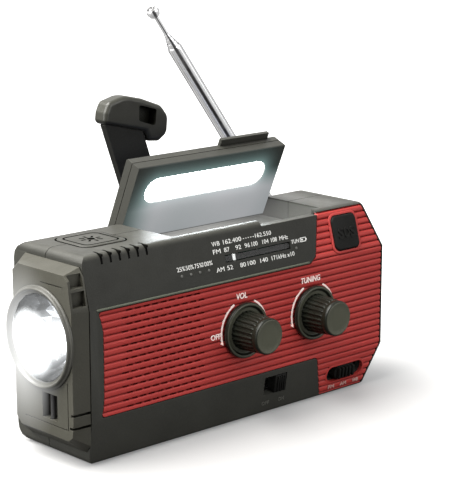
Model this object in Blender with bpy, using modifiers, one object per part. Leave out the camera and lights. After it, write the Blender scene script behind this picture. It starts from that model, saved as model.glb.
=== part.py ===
# Emergency radio: hand crank, solar lid with reading lamp, torch, telescopic antenna.
# X runs along the case (torch end at -X), the front panel faces -Y, +Z is up.
# Shapes are drawn in millimetres, measured from the torch seam (x), the front face (y)
# and the underside of the case (z).  place() turns that into metres about the object's
# origin: the middle of its footprint, crank and antenna included, on the plane of its feet.
import bpy
import bmesh
from math import acos, atan2, cos, hypot, pi, radians, sin, tan
from mathutils import Matrix, Vector

# ---------------------------------------------------------------- driving dimensions (mm)
CASE_L, CASE_D, CASE_H = 160.0, 46.5, 80.0
CREASE_LO, CREASE_HI = 17.35, 60.5          # heights of the two creases of the front
LEAN_LO, LEAN_HI = 2.5, 5.4                 # how far the lower and upper facets lean back
CHAMFER_TOP, CHAMFER_BOT = 8.3, 9.4         # chamfers of the +X end
CHAMFER_INSET = 0.6                         # share of an inset that chamfer corners take in x
WALL, FRONT_WALL = 2.2, 4.0
PANEL_T = 1.7                               # red panel thickness
GAP = 0.3                                   # clearance between fitted pieces
BUTTON_GAP = 0.35
SPLIT_Y = 26.6                              # parting plane between front and rear shells
MID_X, MID_Y = 75.6, 25.35                  # middle of the whole footprint
FOOT_H = 0.6                                # how far the feet stand out

# Rectangles are (low, high) along x, then (low, high) along the other direction.
FEET_X = [(9.0, 15.0), (136.0, 142.0)]      # x spans of the two rubber foot strips
FOOT_Y = (8.0, 37.0)
TOP_BUTTON = (11.0, 32.4, 15.8, 36.4)       # x, y
BATTERY_DOOR = (13.2, 79.8, 8.2, 24.0)      # x, z
SOS_BUTTON = (131.3, 145.7, 1.8, 16.3)      # x, height above the upper crease
DIAL_SLOT = (70.0, 106.2, 6.9, 9.9)         # the same
LAMP_SLOT = (90.3, 103.0, -9.6, -1.6)       # x, height from the lower crease
LAMP_AXIS_X, LAMP_AXIS_Z = 99.6, -5.6
BAND_X, BAND_Z = 138.8, -9.0                # band switch centre, z from the lower crease
POINTER_X = 74.9
SCREWS = [(9, 38), (115.5, 8.5), (152.6, 56)]   # x, z

VOLUME, TUNING = (78.2, 38.7), (117.5, 38.7)    # knob centres (x, z)
KNOB_FLANGE_R, KNOB_CAP_R, KNOB_LEN = 11.4, 6.9, 14.8
SPEAKER = (37.0, 39.0)                      # x, z

RECESS_X0, RECESS_X1 = 47.5, 129.3          # lid recess
RECESS_Y, RECESS_Z = 8.4, 71.5              # its front wall and floor
LID_X0, LID_X1 = 47.9, 128.9
LID_FRAME_X = 75.0                          # x of the frame the lid hangs on
LID_AXIS = (43.3, 73.8)                     # hinge pin (y, z)
LID_FRONT = 33.7                            # hinge to free edge
LID_OPEN = 66.6                             # degrees, as parked

TORCH, TORCH_R = (19.5, 48.2), 17.0         # centre (y, z) and bore
HEAD_X = -8.3                               # outer face of the torch head

CRANK_X, CRANK_Z = 92.0, 42.0
CRANK_LEAN = 19.6                           # degrees the parked arm leans to the torch end
ARM_Y0, ARM_Y1 = 59.0, 62.2
ARM_W = 8.7                                 # half width
ARM_TOP_L, ARM_TOP_R = 82.8, 71.4           # slanted end: torch side, far side
GRIP_Y0, GRIP_Y1 = 57.5, 65.5
GRIP_PIN = (60.6, 68.6)                     # y, distance along the arm
GRIP_PIN_HOLE_R = 1.15

ANT_X, ANT_Y, ANT_Z = 145.7, 53.0, 70.0     # antenna pivot
ANT_LEAN = 36.8                             # degrees from upright, towards the torch end

GEAR_M = 1.0                                # module
TOOTH_SHARE = 0.42                          # tooth width / pitch; under 0.5 for clearance
ADDENDUM, DEDENDUM = 0.85, 1.15             # in modules
FLANK_ANGLE = 20                            # degrees
CRANK_TEETH, PINION_TEETH, WHEEL_TEETH, ROTOR_TEETH = 32, 16, 30, 14
IDLER_ANGLE, ROTOR_ANGLE = -45.0, 12.0      # lines of centres, degrees from +X


def place(x, y, z):
    """Case millimetres to metres about the object's origin."""
    return Vector(((x - MID_X) / 1000, (y - MID_Y) / 1000, (z + FOOT_H) / 1000))


WORLD = Matrix.Translation(place(0, 0, 0)) @ Matrix.Scale(0.001, 4)

for old_object in list(bpy.data.objects):
    bpy.data.objects.remove(old_object, do_unlink=True)
for old_collection in list(bpy.data.collections):
    bpy.data.collections.remove(old_collection)
PARTS = bpy.data.collections.new("emergency_radio")
bpy.context.scene.collection.children.link(PARTS)


# ---------------------------------------------------------------- materials
def material(name, color, roughness, metallic=0.0, transmission=0.0):
    m = bpy.data.materials.new(name)
    m.use_nodes = True
    inputs = m.node_tree.nodes["Principled BSDF"].inputs
    inputs["Base Color"].default_value = (*color, 1)
    inputs["Roughness"].default_value = roughness
    inputs["Metallic"].default_value = metallic
    inputs["Transmission Weight"].default_value = transmission
    m.diffuse_color = (*color, 1)
    return m


CASE = material("case_plastic", color=(0.030, 0.030, 0.025), roughness=0.62)
RED = material("panel_red", color=(0.33, 0.055, 0.048), roughness=0.5)
RUBBER = material("black_rubber", color=(0.015, 0.015, 0.015), roughness=0.8)
KNOB = material("knob_plastic", color=(0.045, 0.046, 0.040), roughness=0.5)
CHROME = material("antenna_chrome", color=(0.75, 0.75, 0.76), roughness=0.12, metallic=1.0)
STEEL = material("steel", color=(0.55, 0.55, 0.56), roughness=0.35, metallic=1.0)
MIRROR = material("reflector", color=(0.85, 0.85, 0.86), roughness=0.1, metallic=1.0)
CLEAR = material("clear_lens", color=(0.9, 0.92, 0.93), roughness=0.05, transmission=0.9)
DIFFUSER = material("lamp_diffuser", color=(0.93, 0.94, 0.95), roughness=0.4)
CELL = material("solar_cell", color=(0.012, 0.018, 0.05), roughness=0.2)
BOARD = material("circuit_board", color=(0.02, 0.16, 0.06), roughness=0.5)
NYLON = material("gear_nylon", color=(0.82, 0.80, 0.72), roughness=0.5)
DYNAMO = material("dynamo_can", color=(0.42, 0.40, 0.36), roughness=0.4, metallic=1.0)
BATTERY = material("battery_wrap", color=(0.05, 0.20, 0.45), roughness=0.4)
PAPER = material("speaker_cone", color=(0.05, 0.05, 0.05), roughness=0.9)
MAGNET = material("magnet", color=(0.08, 0.08, 0.085), roughness=0.6)
FERRITE = material("ferrite", color=(0.06, 0.055, 0.05), roughness=0.7)
WHITE = material("pointer_white", color=(0.85, 0.85, 0.82), roughness=0.5)
DARK = material("inner_plastic", color=(0.05, 0.05, 0.05), roughness=0.6)

# ---------------------------------------------------------------- solids
# Local z goes to the named axis; the other two follow in cyclic order.
AXES = {'x': Matrix(((0, 0, 1, 0), (1, 0, 0, 0), (0, 1, 0, 0), (0, 0, 0, 1))),
        'y': Matrix(((0, 1, 0, 0), (0, 0, 1, 0), (1, 0, 0, 0), (0, 0, 0, 1))),
        'z': Matrix.Identity(4)}


def to_axis(axis, centre, along):
    """Stand a z-aligned shape on an axis; centre is (y, z), (x, z) or (x, y)."""
    u, v = centre
    spot = {'x': (along, u, v), 'y': (u, along, v), 'z': (u, v, along)}[axis]
    return Matrix.Translation(spot) @ AXES[axis]


def new_object(mesh):
    o = bpy.data.objects.new("solid", mesh)
    PARTS.objects.link(o)
    return o


def object_from_bmesh(bm):
    mesh = bpy.data.meshes.new("solid")
    bm.to_mesh(mesh)
    bm.free()
    return new_object(mesh)


def take_primitive(transform):
    """The primitive just added, moved into place and into the radio's collection."""
    o = bpy.context.object
    o.data.transform(transform)
    for collection in list(o.users_collection):
        collection.objects.unlink(o)
    PARTS.objects.link(o)
    return o


def tidy(o):
    bm = bmesh.new()
    bm.from_mesh(o.data)
    bmesh.ops.remove_doubles(bm, verts=bm.verts, dist=0.002)
    bmesh.ops.dissolve_degenerate(bm, edges=bm.edges, dist=0.001)
    bmesh.ops.recalc_face_normals(bm, faces=bm.faces)
    bm.to_mesh(o.data)
    bm.free()


def evaluated_mesh(o):
    bpy.context.view_layer.update()
    return bpy.data.meshes.new_from_object(
        o.evaluated_get(bpy.context.evaluated_depsgraph_get()))


def apply_modifiers(o):
    mesh = evaluated_mesh(o)
    o.modifiers.clear()
    old = o.data
    o.data = mesh
    if old.users == 0:
        bpy.data.meshes.remove(old)


def round_edges(o, width, segments, angle=60):
    bevel = o.modifiers.new("Bevel", 'BEVEL')
    bevel.width = width
    bevel.segments = segments
    bevel.limit_method = 'ANGLE'
    bevel.angle_limit = radians(angle)
    apply_modifiers(o)


def box(x0, x1, y0, y1, z0, z1, bevel=0.0, segments=1):
    bpy.ops.mesh.primitive_cube_add(size=1)
    o = take_primitive(Matrix.Translation(((x0 + x1) / 2, (y0 + y1) / 2, (z0 + z1) / 2))
                       @ Matrix.Diagonal((x1 - x0, y1 - y0, z1 - z0, 1)))
    if bevel:
        round_edges(o, bevel, segments, angle=40)
    return o


def cylinder(axis, centre, radius, start, end, segments=32):
    bpy.ops.mesh.primitive_cylinder_add(vertices=segments, radius=radius, depth=end - start)
    return take_primitive(to_axis(axis, centre, (start + end) / 2))


def round_poly(corners, segments=4):
    """Closed outline from (u, v, radius) corners; no radius keeps the corner sharp."""
    outline = []
    for i, corner in enumerate(corners):
        if len(corner) < 3:
            outline.append(corner)
            continue
        radius = corner[2]
        before = Vector(corners[i - 1][:2])
        here = Vector(corner[:2])
        after = Vector(corners[(i + 1) % len(corners)][:2])
        to_before, to_after = (before - here).normalized(), (after - here).normalized()
        angle = acos(max(-1, min(1, to_before.dot(to_after))))
        reach = radius / tan(angle / 2)
        middle = (to_before + to_after).normalized() * (radius / sin(angle / 2)) + here
        first, last = here + to_before * reach - middle, here + to_after * reach - middle
        a0, a1 = atan2(first.y, first.x), atan2(last.y, last.x)
        while a1 - a0 > pi:
            a1 -= 2 * pi
        while a1 - a0 < -pi:
            a1 += 2 * pi
        for k in range(segments + 1):
            a = a0 + (a1 - a0) * k / segments
            outline.append((middle.x + radius * cos(a), middle.y + radius * sin(a)))
    return outline


def rounded_rect(rect, radius, segments=4, grow=0):
    u0, u1, v0, v1 = rect[0] - grow, rect[1] + grow, rect[2] - grow, rect[3] + grow
    r = radius + grow
    return round_poly([(u0, v0, r), (u1, v0, r), (u1, v1, r), (u0, v1, r)], segments)


def extrude(axis, outline, start, end):
    """Filled 2D curve extruded along axis; outline is in (y, z), (x, z) or (x, y)."""
    curve = bpy.data.curves.new("outline", 'CURVE')
    curve.dimensions = '2D'
    curve.fill_mode = 'BOTH'
    curve.extrude = (end - start) / 2
    spline = curve.splines.new('POLY')
    spline.points.add(len(outline) - 1)
    for point, (u, v) in zip(spline.points, outline):
        point.co = (v, u, 0, 1) if axis == 'y' else (u, v, 0, 1)
    spline.use_cyclic_u = True
    source = new_object(curve)
    mesh = evaluated_mesh(source)
    bpy.data.objects.remove(source)
    mesh.transform(to_axis(axis, (0, 0), (start + end) / 2))
    o = new_object(mesh)
    tidy(o)
    return o


def lathe(axis, centre, profile, segments):
    """Turned shape from (radius, position along axis) points; a profile that starts
    off the axis is closed into a ring."""
    bm = bmesh.new()
    verts = [bm.verts.new((r, 0, along)) for r, along in profile]
    for i in range(len(verts) - 1):
        bm.edges.new((verts[i], verts[i + 1]))
    if profile[0][0] > 0:
        bm.edges.new((verts[-1], verts[0]))
    o = object_from_bmesh(bm)
    screw = o.modifiers.new("Screw", 'SCREW')
    screw.steps = screw.render_steps = segments
    screw.use_merge_vertices = True
    screw.merge_threshold = 0.0001
    screw.use_smooth_shade = False
    apply_modifiers(o)
    o.data.transform(to_axis(axis, centre, 0))
    tidy(o)
    return o


def combine(body, tools, operation):
    """Boolean the tools into body one by one, using them up."""
    for tool in tools:
        modifier = body.modifiers.new("Boolean", 'BOOLEAN')
        modifier.operation = operation
        modifier.solver = 'EXACT'
        modifier.object = tool
        apply_modifiers(body)
        bpy.data.objects.remove(tool)
    tidy(body)


def cut(body, *tools):
    combine(body, tools, 'DIFFERENCE')


def add(body, *tools):
    combine(body, tools, 'UNION')


def joined(objects):
    """Several separate closed cutters in one mesh."""
    bm = bmesh.new()
    for o in objects:
        bm.from_mesh(o.data)
        bpy.data.objects.remove(o)
    return object_from_bmesh(bm)


# ---------------------------------------------------------------- finishing
def finish(name, o, look):
    o.name = name
    o.data.materials.clear()
    o.data.materials.append(look)
    o.data.shade_smooth()
    o.data.set_sharp_from_angle(angle=radians(32))


def fixed(name, o, look):
    """Bring a piece modelled in millimetres to metres at its place."""
    tidy(o)
    o.data.transform(WORLD)
    finish(name, o, look)


def axis_frame(name, position, rotation=(0, 0, 0), parent=None):
    """Empty on a joint's axis, scaled so that its children are in millimetres."""
    frame = new_object(None)
    frame.name = name
    if parent is None:
        frame.location = place(*position)
        frame.scale = (0.001, 0.001, 0.001)
    else:
        frame.parent = parent
        frame.location = position
    frame.rotation_euler = rotation
    return frame


def moving(name, o, frame, look, origin=(0, 0, 0)):
    """Hang a piece on a frame; origin is the frame's place in the piece's coordinates."""
    tidy(o)
    o.data.transform(Matrix.Translation(-Vector(origin)))
    o.parent = frame
    finish(name, o, look)


def jointed(name, o, frame_name, look, origin):
    """Hang a piece drawn in case coordinates on a new frame at origin."""
    moving(name, o, axis_frame(frame_name, origin), look, origin)


# ---------------------------------------------------------------- sloping front facets
# Facet coordinates: x along the case, y into the case, z up the facet from its crease.
UPPER = (Matrix.Translation((0, 0, CREASE_HI))
         @ Matrix.Rotation(-atan2(LEAN_HI, CASE_H - CREASE_HI), 4, 'X'))
LOWER = (Matrix.Translation((0, 0, CREASE_LO))
         @ Matrix.Rotation(atan2(LEAN_LO, CREASE_LO), 4, 'X'))


def on_facet(facet, o):
    o.data.transform(facet)
    return o


def facet_box(facet, rect, y0, y1, inset=0):
    x0, x1, z0, z1 = rect
    return on_facet(facet, box(x0 + inset, x1 - inset, y0, y1, z0 + inset, z1 - inset))


def centre_of(rect):
    return (rect[0] + rect[1]) / 2, (rect[2] + rect[3]) / 2


# ---------------------------------------------------------------- case solids
def case_solid(inset, front_inset):
    """The case's outer form, shrunk by the insets: side profile crossed with front outline."""
    top, back = CASE_H - inset, CASE_D - inset
    back_r = max(7 - inset, 1)
    profile = round_poly([
        (LEAN_LO + front_inset, inset, 1.5), (front_inset, CREASE_LO), (front_inset, CREASE_HI),
        (LEAN_HI + front_inset, top, 3.0), (back, top, back_r), (back, inset, back_r)])
    end = CASE_L - inset
    front = round_poly([
        (inset, inset, 3), (CASE_L - CHAMFER_BOT - inset * CHAMFER_INSET, inset, 2),
        (end, CREASE_LO, 2), (end, CREASE_HI, 2),
        (CASE_L - CHAMFER_TOP - inset * CHAMFER_INSET, top, 2), (inset, top, 4)])
    solid = extrude('x', profile, -20, 200)
    combine(solid, [extrude('y', front, -20, 80)], 'INTERSECT')
    return solid


def front_block(depth):
    """Everything further than depth behind the front, its facets run on past the case."""
    over = 5
    low = LEAN_LO * (1 + over / CREASE_LO) + depth
    high = LEAN_HI * (1 + over / (CASE_H - CREASE_HI)) + depth
    z0, z1 = -over, CASE_H + over
    return extrude('x', [(low, z0), (depth, CREASE_LO), (depth, CREASE_HI), (high, z1),
                         (70, z1), (70, z0)], -30, 200)


def panel_solid(g):
    """The red panel's (x, z) outline, grown by g, carried through the front."""
    chamfer_g = g * CHAMFER_INSET
    outline = round_poly([
        (4.0 - g, 59.3 + g, 1.0), (5.4 - g, 55.6), (6.3 - g, 51.5), (6.4 - g, 40),
        (6.3 - g, 26), (5.9 - g, 22), (5.0 - g, 18.5 - g, 1.0),
        (120.6 - g, 18.5 - g, 2.0), (124.6 - g, 0.9 - g),
        (CASE_L - CHAMFER_BOT - .6 + chamfer_g, 0.9 - g), (CASE_L - 1 + g, CREASE_LO),
        (CASE_L - 1 + g, CREASE_HI), (CASE_L - CHAMFER_TOP - .6 + chamfer_g, 78.8 + g),
        (124.8 - g, 78.8 + g), (119.6 - g, 62.0 + g), (116.0 - g, 59.3 + g, 2.0)])
    return extrude('y', outline, -10, 12)


# ---------------------------------------------------------------- cutters used twice
def front_openings():
    """SOS button hole, band switch slot and the two knob shaft holes."""
    sos = extrude('y', rounded_rect(SOS_BUTTON, 2.5, grow=BUTTON_GAP), -8, 8)
    slot = (BAND_X - 11, BAND_X + 11, BAND_Z - 3.3, BAND_Z + 3.3)
    band = extrude('y', rounded_rect(slot, 3.2, 6), -8, 8)
    knobs = [cylinder('y', centre, 4.2, -5, 9, 24) for centre in (VOLUME, TUNING)]
    return [on_facet(UPPER, sos), on_facet(LOWER, band)] + knobs


def lid_recess(wall):
    return box(RECESS_X0 - wall, RECESS_X1 + wall, RECESS_Y - wall, 80, RECESS_Z - wall, 100)


def torch_bore():
    return cylinder('x', TORCH, TORCH_R + .4, -5, 6)


def top_button_hole():
    return extrude('z', rounded_rect(TOP_BUTTON, 4.0, grow=BUTTON_GAP), 74, 90)


def port_opening():
    return box(155, 165, 15, 37.4, 23.6, 50.4)


def foot_strip(span, grow, z0, z1):
    return extrude('z', rounded_rect((*span, *FOOT_Y), 2.9, grow=grow), z0, z1)


def foot_pockets():
    return [foot_strip(span, GAP, -2, 1.2) for span in FEET_X]


def grooves(y0, y1, z0, z1):
    """Row of six upright grooves in line with the top button."""
    centres = [9.6 + 4.4 * k for k in range(6)]
    return joined([box(x - .5, x + .5, y0, y1, z0, z1) for x in centres])


# ---------------------------------------------------------------- front panel and shells
def front_panel():
    panel = case_solid(0, 0)
    combine(panel, [panel_solid(0)], 'INTERSECT')
    cut(panel, front_block(PANEL_T))
    cut(panel, *front_openings())
    fixed("front_panel", panel, RED)


def front_shell(shell, cavity):
    cut(shell, box(-50, 250, SPLIT_Y, 120, -50, 150))
    cut(shell, cavity)
    for centre in SCREWS:                   # screw posts
        add(shell, cylinder('y', centre, 3.0, 3.2, SPLIT_Y - 0.2, 16))
    pocket = panel_solid(GAP)
    cut(pocket, front_block(PANEL_T + GAP))
    cut(shell, pocket)
    cut(shell, *front_openings())
    cut(shell, facet_box(UPPER, DIAL_SLOT, -4, 12))
    cut(shell, facet_box(LOWER, LAMP_SLOT, -4, 12))
    cut(shell, cylinder('y', SPEAKER, 20.5, 1, 9))
    cut(shell, torch_bore())
    cut(shell, top_button_hole())
    cut(shell, box(92.3, 124.4, -6, 9.0, 78.1, 100))    # finger notch before the lid
    cut(shell, grooves(2, 9.6, 79.1, 84))
    cut(shell, on_facet(UPPER, grooves(-2, .8, 16.2, 22)))
    cut(shell, port_opening())
    cut(shell, *[cylinder('y', centre, 1.5, 12, SPLIT_Y + 1, 12) for centre in SCREWS])
    cut(shell, *foot_pockets())
    fixed("front_shell", shell, CASE)


def rear_shell(shell, cavity):
    crank = (CRANK_X, CRANK_Z)
    cut(shell, box(-50, 250, -80, SPLIT_Y + GAP, -50, 150))
    cut(shell, cavity)
    add(shell, cylinder('y', crank, 15, 45, 55))        # crank boss, its dish and shaft hole
    cut(shell, cylinder('y', crank, 13, 53.8, 58))
    cut(shell, cylinder('y', crank, 3.9, 30, 60, 24))
    cut(shell, torch_bore())
    cut(shell, top_button_hole())
    cut(shell, port_opening())
    x0, x1, z0, z1 = BATTERY_DOOR
    cut(shell, box(x0 - GAP, x1 + GAP, 40, 50, z0 - GAP, z1 + GAP))
    cut(shell, cylinder('x', LID_AXIS, 1.3, LID_X0 - 4.5, LID_X1 + 4.5, 16))
    for centre in SCREWS:                   # clearance hole and counterbore
        cut(shell, cylinder('y', centre, 1.6, 40, 50, 12),
            cylinder('y', centre, 3.0, 45.1, 50, 20))
    cut(shell, *foot_pockets())
    fixed("rear_shell", shell, CASE)


def shells():
    outer = case_solid(0, 0)
    cut(outer, lid_recess(0))
    cavity = case_solid(WALL, FRONT_WALL)
    cut(cavity, lid_recess(WALL))
    rear_blanks = [new_object(o.data.copy()) for o in (outer, cavity)]
    front_shell(outer, cavity)
    rear_shell(*rear_blanks)


def feet_and_screws():
    for i, span in enumerate(FEET_X, 1):
        fixed(f"foot_strip_{i}", foot_strip(span, 0, -FOOT_H, 0.9), RUBBER)
    for i, (x, z) in enumerate(SCREWS, 1):
        screw = cylinder('y', (x, z), 1.2, 14, 45.6, 12)
        add(screw, cylinder('y', (x, z), 2.6, 45.4, 46.4, 20))
        cut(screw, box(x - 1.8, x + 1.8, 45.9, 47, z - .3, z + .3),
            box(x - .3, x + .3, 45.9, 47, z - 1.8, z + 1.8))
        fixed(f"case_screw_{i}", screw, STEEL)


front_panel()
shells()
feet_and_screws()

# ---------------------------------------------------------------- torch head
# Outlines (y, z) of the head where it meets the case and at its outer face.
HEAD_BASE = [(3.6, 5.2), (0.4, 8.5), (0.3, 17.35), (0.3, 60.5), (3.0, 73.2),
             (5.6, 76.4), (38.5, 76.4), (42.0, 72.5), (42.0, 10.0), (38.5, 5.2)]
HEAD_FACE = [(3.6, 11.4), (1.2, 13.2), (0.5, 19.0), (0.6, 60.5), (2.6, 72.6),
             (4.8, 74.6), (32.5, 74.6), (36.2, 71.5), (35.6, 14.0), (33.0, 11.4)]
LANYARD = (-6.7, 14.6)                      # bar centre (x, y)

# Turned profiles: radius, x.
LENS_RING = [(17.1, -8.6), (19.7, -8.6), (19.7, -9.8), (18.9, -10.7), (17.9, -10.7),
             (17.1, -9.9)]
LENS = [(0, -8.7), (16.7, -8.7), (16.7, -9.6), (0, -10.2)]
REFLECTOR = [(16.6, -8.3), (15.2, -4.0), (12.0, 0.5), (8.2, 4.0), (4.6, 6.2), (3.6, 6.2),
             (3.6, 5.6), (7.4, 3.2), (11.2, -.1), (14.4, -4.4), (15.6, -8.3)]


def loft(base, end, x0, x1):
    """Solid along x between two outlines: base is extruded, its far end moved onto end."""
    bm = bmesh.new()
    face = bm.faces.new([bm.verts.new((x0, y, z)) for y, z in base])
    extruded = bmesh.ops.extrude_face_region(bm, geom=[face])
    for v in [item for item in extruded["geom"] if isinstance(item, bmesh.types.BMVert)]:
        nearest = min(range(len(base)),
                      key=lambda i: hypot(v.co.y - base[i][0], v.co.z - base[i][1]))
        v.co = (x1, *end[nearest])
    bmesh.ops.recalc_face_normals(bm, faces=bm.faces)
    return object_from_bmesh(bm)


def head_bezel():
    head = loft(HEAD_BASE, HEAD_FACE, -GAP, HEAD_X)
    cut(head, cylinder('x', TORCH, TORCH_R, -20, 5, 40))
    cut(head, box(-14, -5.0, 10.0, 19.2, 17.4, 27.4))   # lanyard recess and bar hole
    cut(head, cylinder('z', LANYARD, 1.3, 15.6, 29.2, 12))
    # two notches high on the front edge, then two thin slots low on it
    cut(head, box(-7.2, -1.0, -3, 4.6, 69.6, 74.6), box(-7.2, -1.0, -3, 3.4, 62.6, 68.4))
    cut(head, box(-12, .5, -3, 1.9, 21.2, 22.2), box(-12, .5, -3, 2.6, 16.1, 17.1))
    fixed("head_bezel", head, CASE)


head_bezel()
fixed("lanyard_bar", cylinder('z', LANYARD, 1.0, 15.9, 28.9, 16), STEEL)
fixed("lens_ring", lathe('x', TORCH, LENS_RING, 40), CASE)
fixed("flashlight_lens", lathe('x', TORCH, LENS, 40), CLEAR)
fixed("flashlight_reflector", lathe('x', TORCH, REFLECTOR, 28), MIRROR)
fixed("flashlight_led_board", cylinder('x', TORCH, 6.0, 6.5, 8.1, 24), BOARD)

# ---------------------------------------------------------------- lid
# Drawn closed in its own frame: x from the frame, y from the hinge (free edge at -y), z up.
LAMP_POCKET, LAMP_POCKET_R = (-20.0, 45.9, -27.5, -15.9), 5.7
HINGE_EDGE = 1.9                            # how far the lid reaches behind the hinge axis


def lid():
    frame = axis_frame("lid_axis", (LID_FRAME_X, *LID_AXIS), (radians(-LID_OPEN), 0, 0))
    x0, x1, edge = LID_X0 - LID_FRAME_X, LID_X1 - LID_FRAME_X, -LID_FRONT

    def lamp_shape(inset, segments, z0, z1):
        return extrude('z', rounded_rect(LAMP_POCKET, LAMP_POCKET_R, segments, -inset), z0, z1)

    inner = extrude('x', round_poly([
        (edge, 2.2), (edge, -2.0, .6), (HINGE_EDGE, -2.0, 1.9), (HINGE_EDGE, 2.2)], 5), x0, x1)
    cut(inner, lamp_shape(0, 8, -4, 1.1))
    cut(inner, lamp_shape(1.4, 6, -1, 5))
    cut(inner, cylinder('x', (0, 0), 1.3, x0 - 1, x1 + 1, 16))
    moving("lid_inner_shell", inner, frame, CASE)

    outer = extrude('x', round_poly([
        (edge, 6.0, .8), (edge, 2.5), (HINGE_EDGE, 2.5), (1.2, 4.2), (-1.4, 6.0, .6)]), x0, x1)
    add(outer, box(96.6 - LID_FRAME_X, 123.8 - LID_FRAME_X,     # finger tab
                   edge - 3.0, edge + 2.0, 4.5, 6.0))
    cell = (x0 + 2.6, x1 - 2.6, edge + 3.0, -4.2)
    cut(outer, extrude('z', rounded_rect(cell, 1.2, 3), 5.0, 8))
    moving("lid_outer_shell", outer, frame, CASE)
    solar_cell = extrude('z', rounded_rect(cell, 1.2, 3, -GAP), 5.2, 6.0)
    moving("solar_cell", solar_cell, frame, CELL)
    moving("lamp_diffuser", lamp_shape(GAP, 8, -2.2, 0.8), frame, DIFFUSER)
    moving("lamp_led_board", lamp_shape(1.8, 5, 1.0, 2.0), frame, BOARD)


lid()
fixed("lid_hinge_pin", cylinder('x', LID_AXIS, 1.0, LID_X0 - 4.2, LID_X1 + 4.2, 16), STEEL)


# ---------------------------------------------------------------- buttons
def top_button():
    centre = centre_of(TOP_BUTTON)
    button = extrude('z', rounded_rect(TOP_BUTTON, 4.0), 77.4, CASE_H)
    add(button, cylinder('z', centre, 3.0, 71.0, 77.6, 16))
    jointed("top_button", button, "top_button_axis", CASE, (*centre, CASE_H))


def sos_button():
    x, z = centre_of(SOS_BUTTON)
    face_y = -1.0
    button = extrude('y', rounded_rect(SOS_BUTTON, 2.5), face_y, 3.4)
    round_edges(button, 0.5, 2)
    add(button, cylinder('y', (x, z), 2.5, 3.0, 7.0, 16))
    on_facet(UPPER, button)
    origin = UPPER @ Vector((x, face_y, z))
    jointed("sos_button", button, "sos_button_axis", RUBBER, origin)


top_button()
sos_button()


# ---------------------------------------------------------------- knobs and their controls
def knob(name, centre):
    flange, cap, tip = KNOB_FLANGE_R, KNOB_CAP_R, -KNOB_LEN
    profile = [                             # radius, y
        (0, tip), (cap, tip), (cap + .5, tip + .6), (cap + .5, tip + 2.8), (7.2, tip + 3.2),
        (7.9, -1.3), (9.5, -1.3), (flange - 1.4, -2.3), (flange - .6, -2.3), (flange, -1.8),
        (flange, -0.4), (3.0, -0.4), (3.0, 6.5), (0, 6.5)]
    origin = (centre[0], 0, centre[1])
    jointed(name, lathe('y', centre, profile, 28), name + "_axis", KNOB, origin)


def tuning_capacitor():
    x, z = TUNING
    body = box(x - 10, x + 10, 4.3, 13.5, z - 10, z + 10, bevel=0.6)
    cut(body, cylinder('y', TUNING, 3.3, 0, 20, 24))
    fixed("tuning_capacitor", body, WHITE)


def dial():
    """Window strip in the slot, pointer behind it."""
    fixed("dial_window", facet_box(UPPER, DIAL_SLOT, 0.35, 1.15, inset=GAP), CLEAR)
    z0, z1 = DIAL_SLOT[2:]
    front_y = 1.5
    span = (POINTER_X - 1.2, POINTER_X + 1.2, z0 + GAP, z1 - GAP)
    origin = UPPER @ Vector((POINTER_X, front_y, (z0 + z1) / 2))
    jointed("dial_pointer", facet_box(UPPER, span, front_y, 5.0), "dial_pointer_axis",
            WHITE, origin)


def band_switch():
    rect = (BAND_X - 6.0, BAND_X + 6.0, BAND_Z - 2.9, BAND_Z + 2.9)
    slider = on_facet(LOWER, extrude('y', rounded_rect(rect, 2.6), -1.4, 4.6))
    origin = LOWER @ Vector((BAND_X, 0, BAND_Z))
    jointed("band_switch_slider", slider, "band_switch_axis", RUBBER, origin)
    body = (BAND_X - 12.5, BAND_X + 11, BAND_Z - 4.2, BAND_Z + 4.2)
    fixed("band_switch_body", facet_box(LOWER, body, 5.0, 9.5), STEEL)


def lamp_switch():
    rect = (96.6, 102.7, LAMP_SLOT[2] + GAP, LAMP_SLOT[3] - GAP)
    slider = facet_box(LOWER, rect, -0.9, 4.6)
    origin = LOWER @ Vector((LAMP_AXIS_X, 0, LAMP_AXIS_Z))
    jointed("lamp_switch_slider", slider, "lamp_switch_axis", RUBBER, origin)
    fixed("lamp_switch_body", facet_box(LOWER, (88.5, 105, -10.4, -1.0), 5.0, 9.5), STEEL)


POTENTIOMETER = [(3.3, 4.3), (8.5, 4.3), (8.5, 12.5), (3.3, 12.5)]  # radius, y

knob("vol_knob", VOLUME)
knob("tuning_knob", TUNING)
fixed("vol_potentiometer", lathe('y', VOLUME, POTENTIOMETER, 28), STEEL)
tuning_capacitor()
dial()
band_switch()
lamp_switch()

# ---------------------------------------------------------------- crank
# Drawn in its own frame: x across the arm, z along it from the shaft.
crank_frame = axis_frame("crank_axis", (CRANK_X, 0, CRANK_Z), (0, radians(-CRANK_LEAN), 0))

# Grip corners as the crank stands parked: case x, case z, radius.
GRIP = [(56.0, 117.6, 1.2), (55.9, 121.6, 3), (57.6, 125.8, 2.5), (66.0, 128.0, 9),
        (75.5, 125.8, 9), (85.8, 122.0, 4.5), (89.5, 117.4, 3.5), (88.9, 110.0, 3.5),
        (84.4, 107.1, 2.5), (79.0, 108.0, .8)]
# Four-sided hollow in the grip's -Y side: case x, case z.
GRIP_HOLLOW = [(73.2, 123.6), (82.6, 120.8), (81.8, 113.9), (73.0, 116.9)]


def in_crank(x, z):
    """Case (x, z) of the parked crank to the crank's own frame."""
    lean = radians(CRANK_LEAN)
    dx, dz = x - CRANK_X, z - CRANK_Z
    return (dx * cos(lean) + dz * sin(lean), -dx * sin(lean) + dz * cos(lean))


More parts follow.
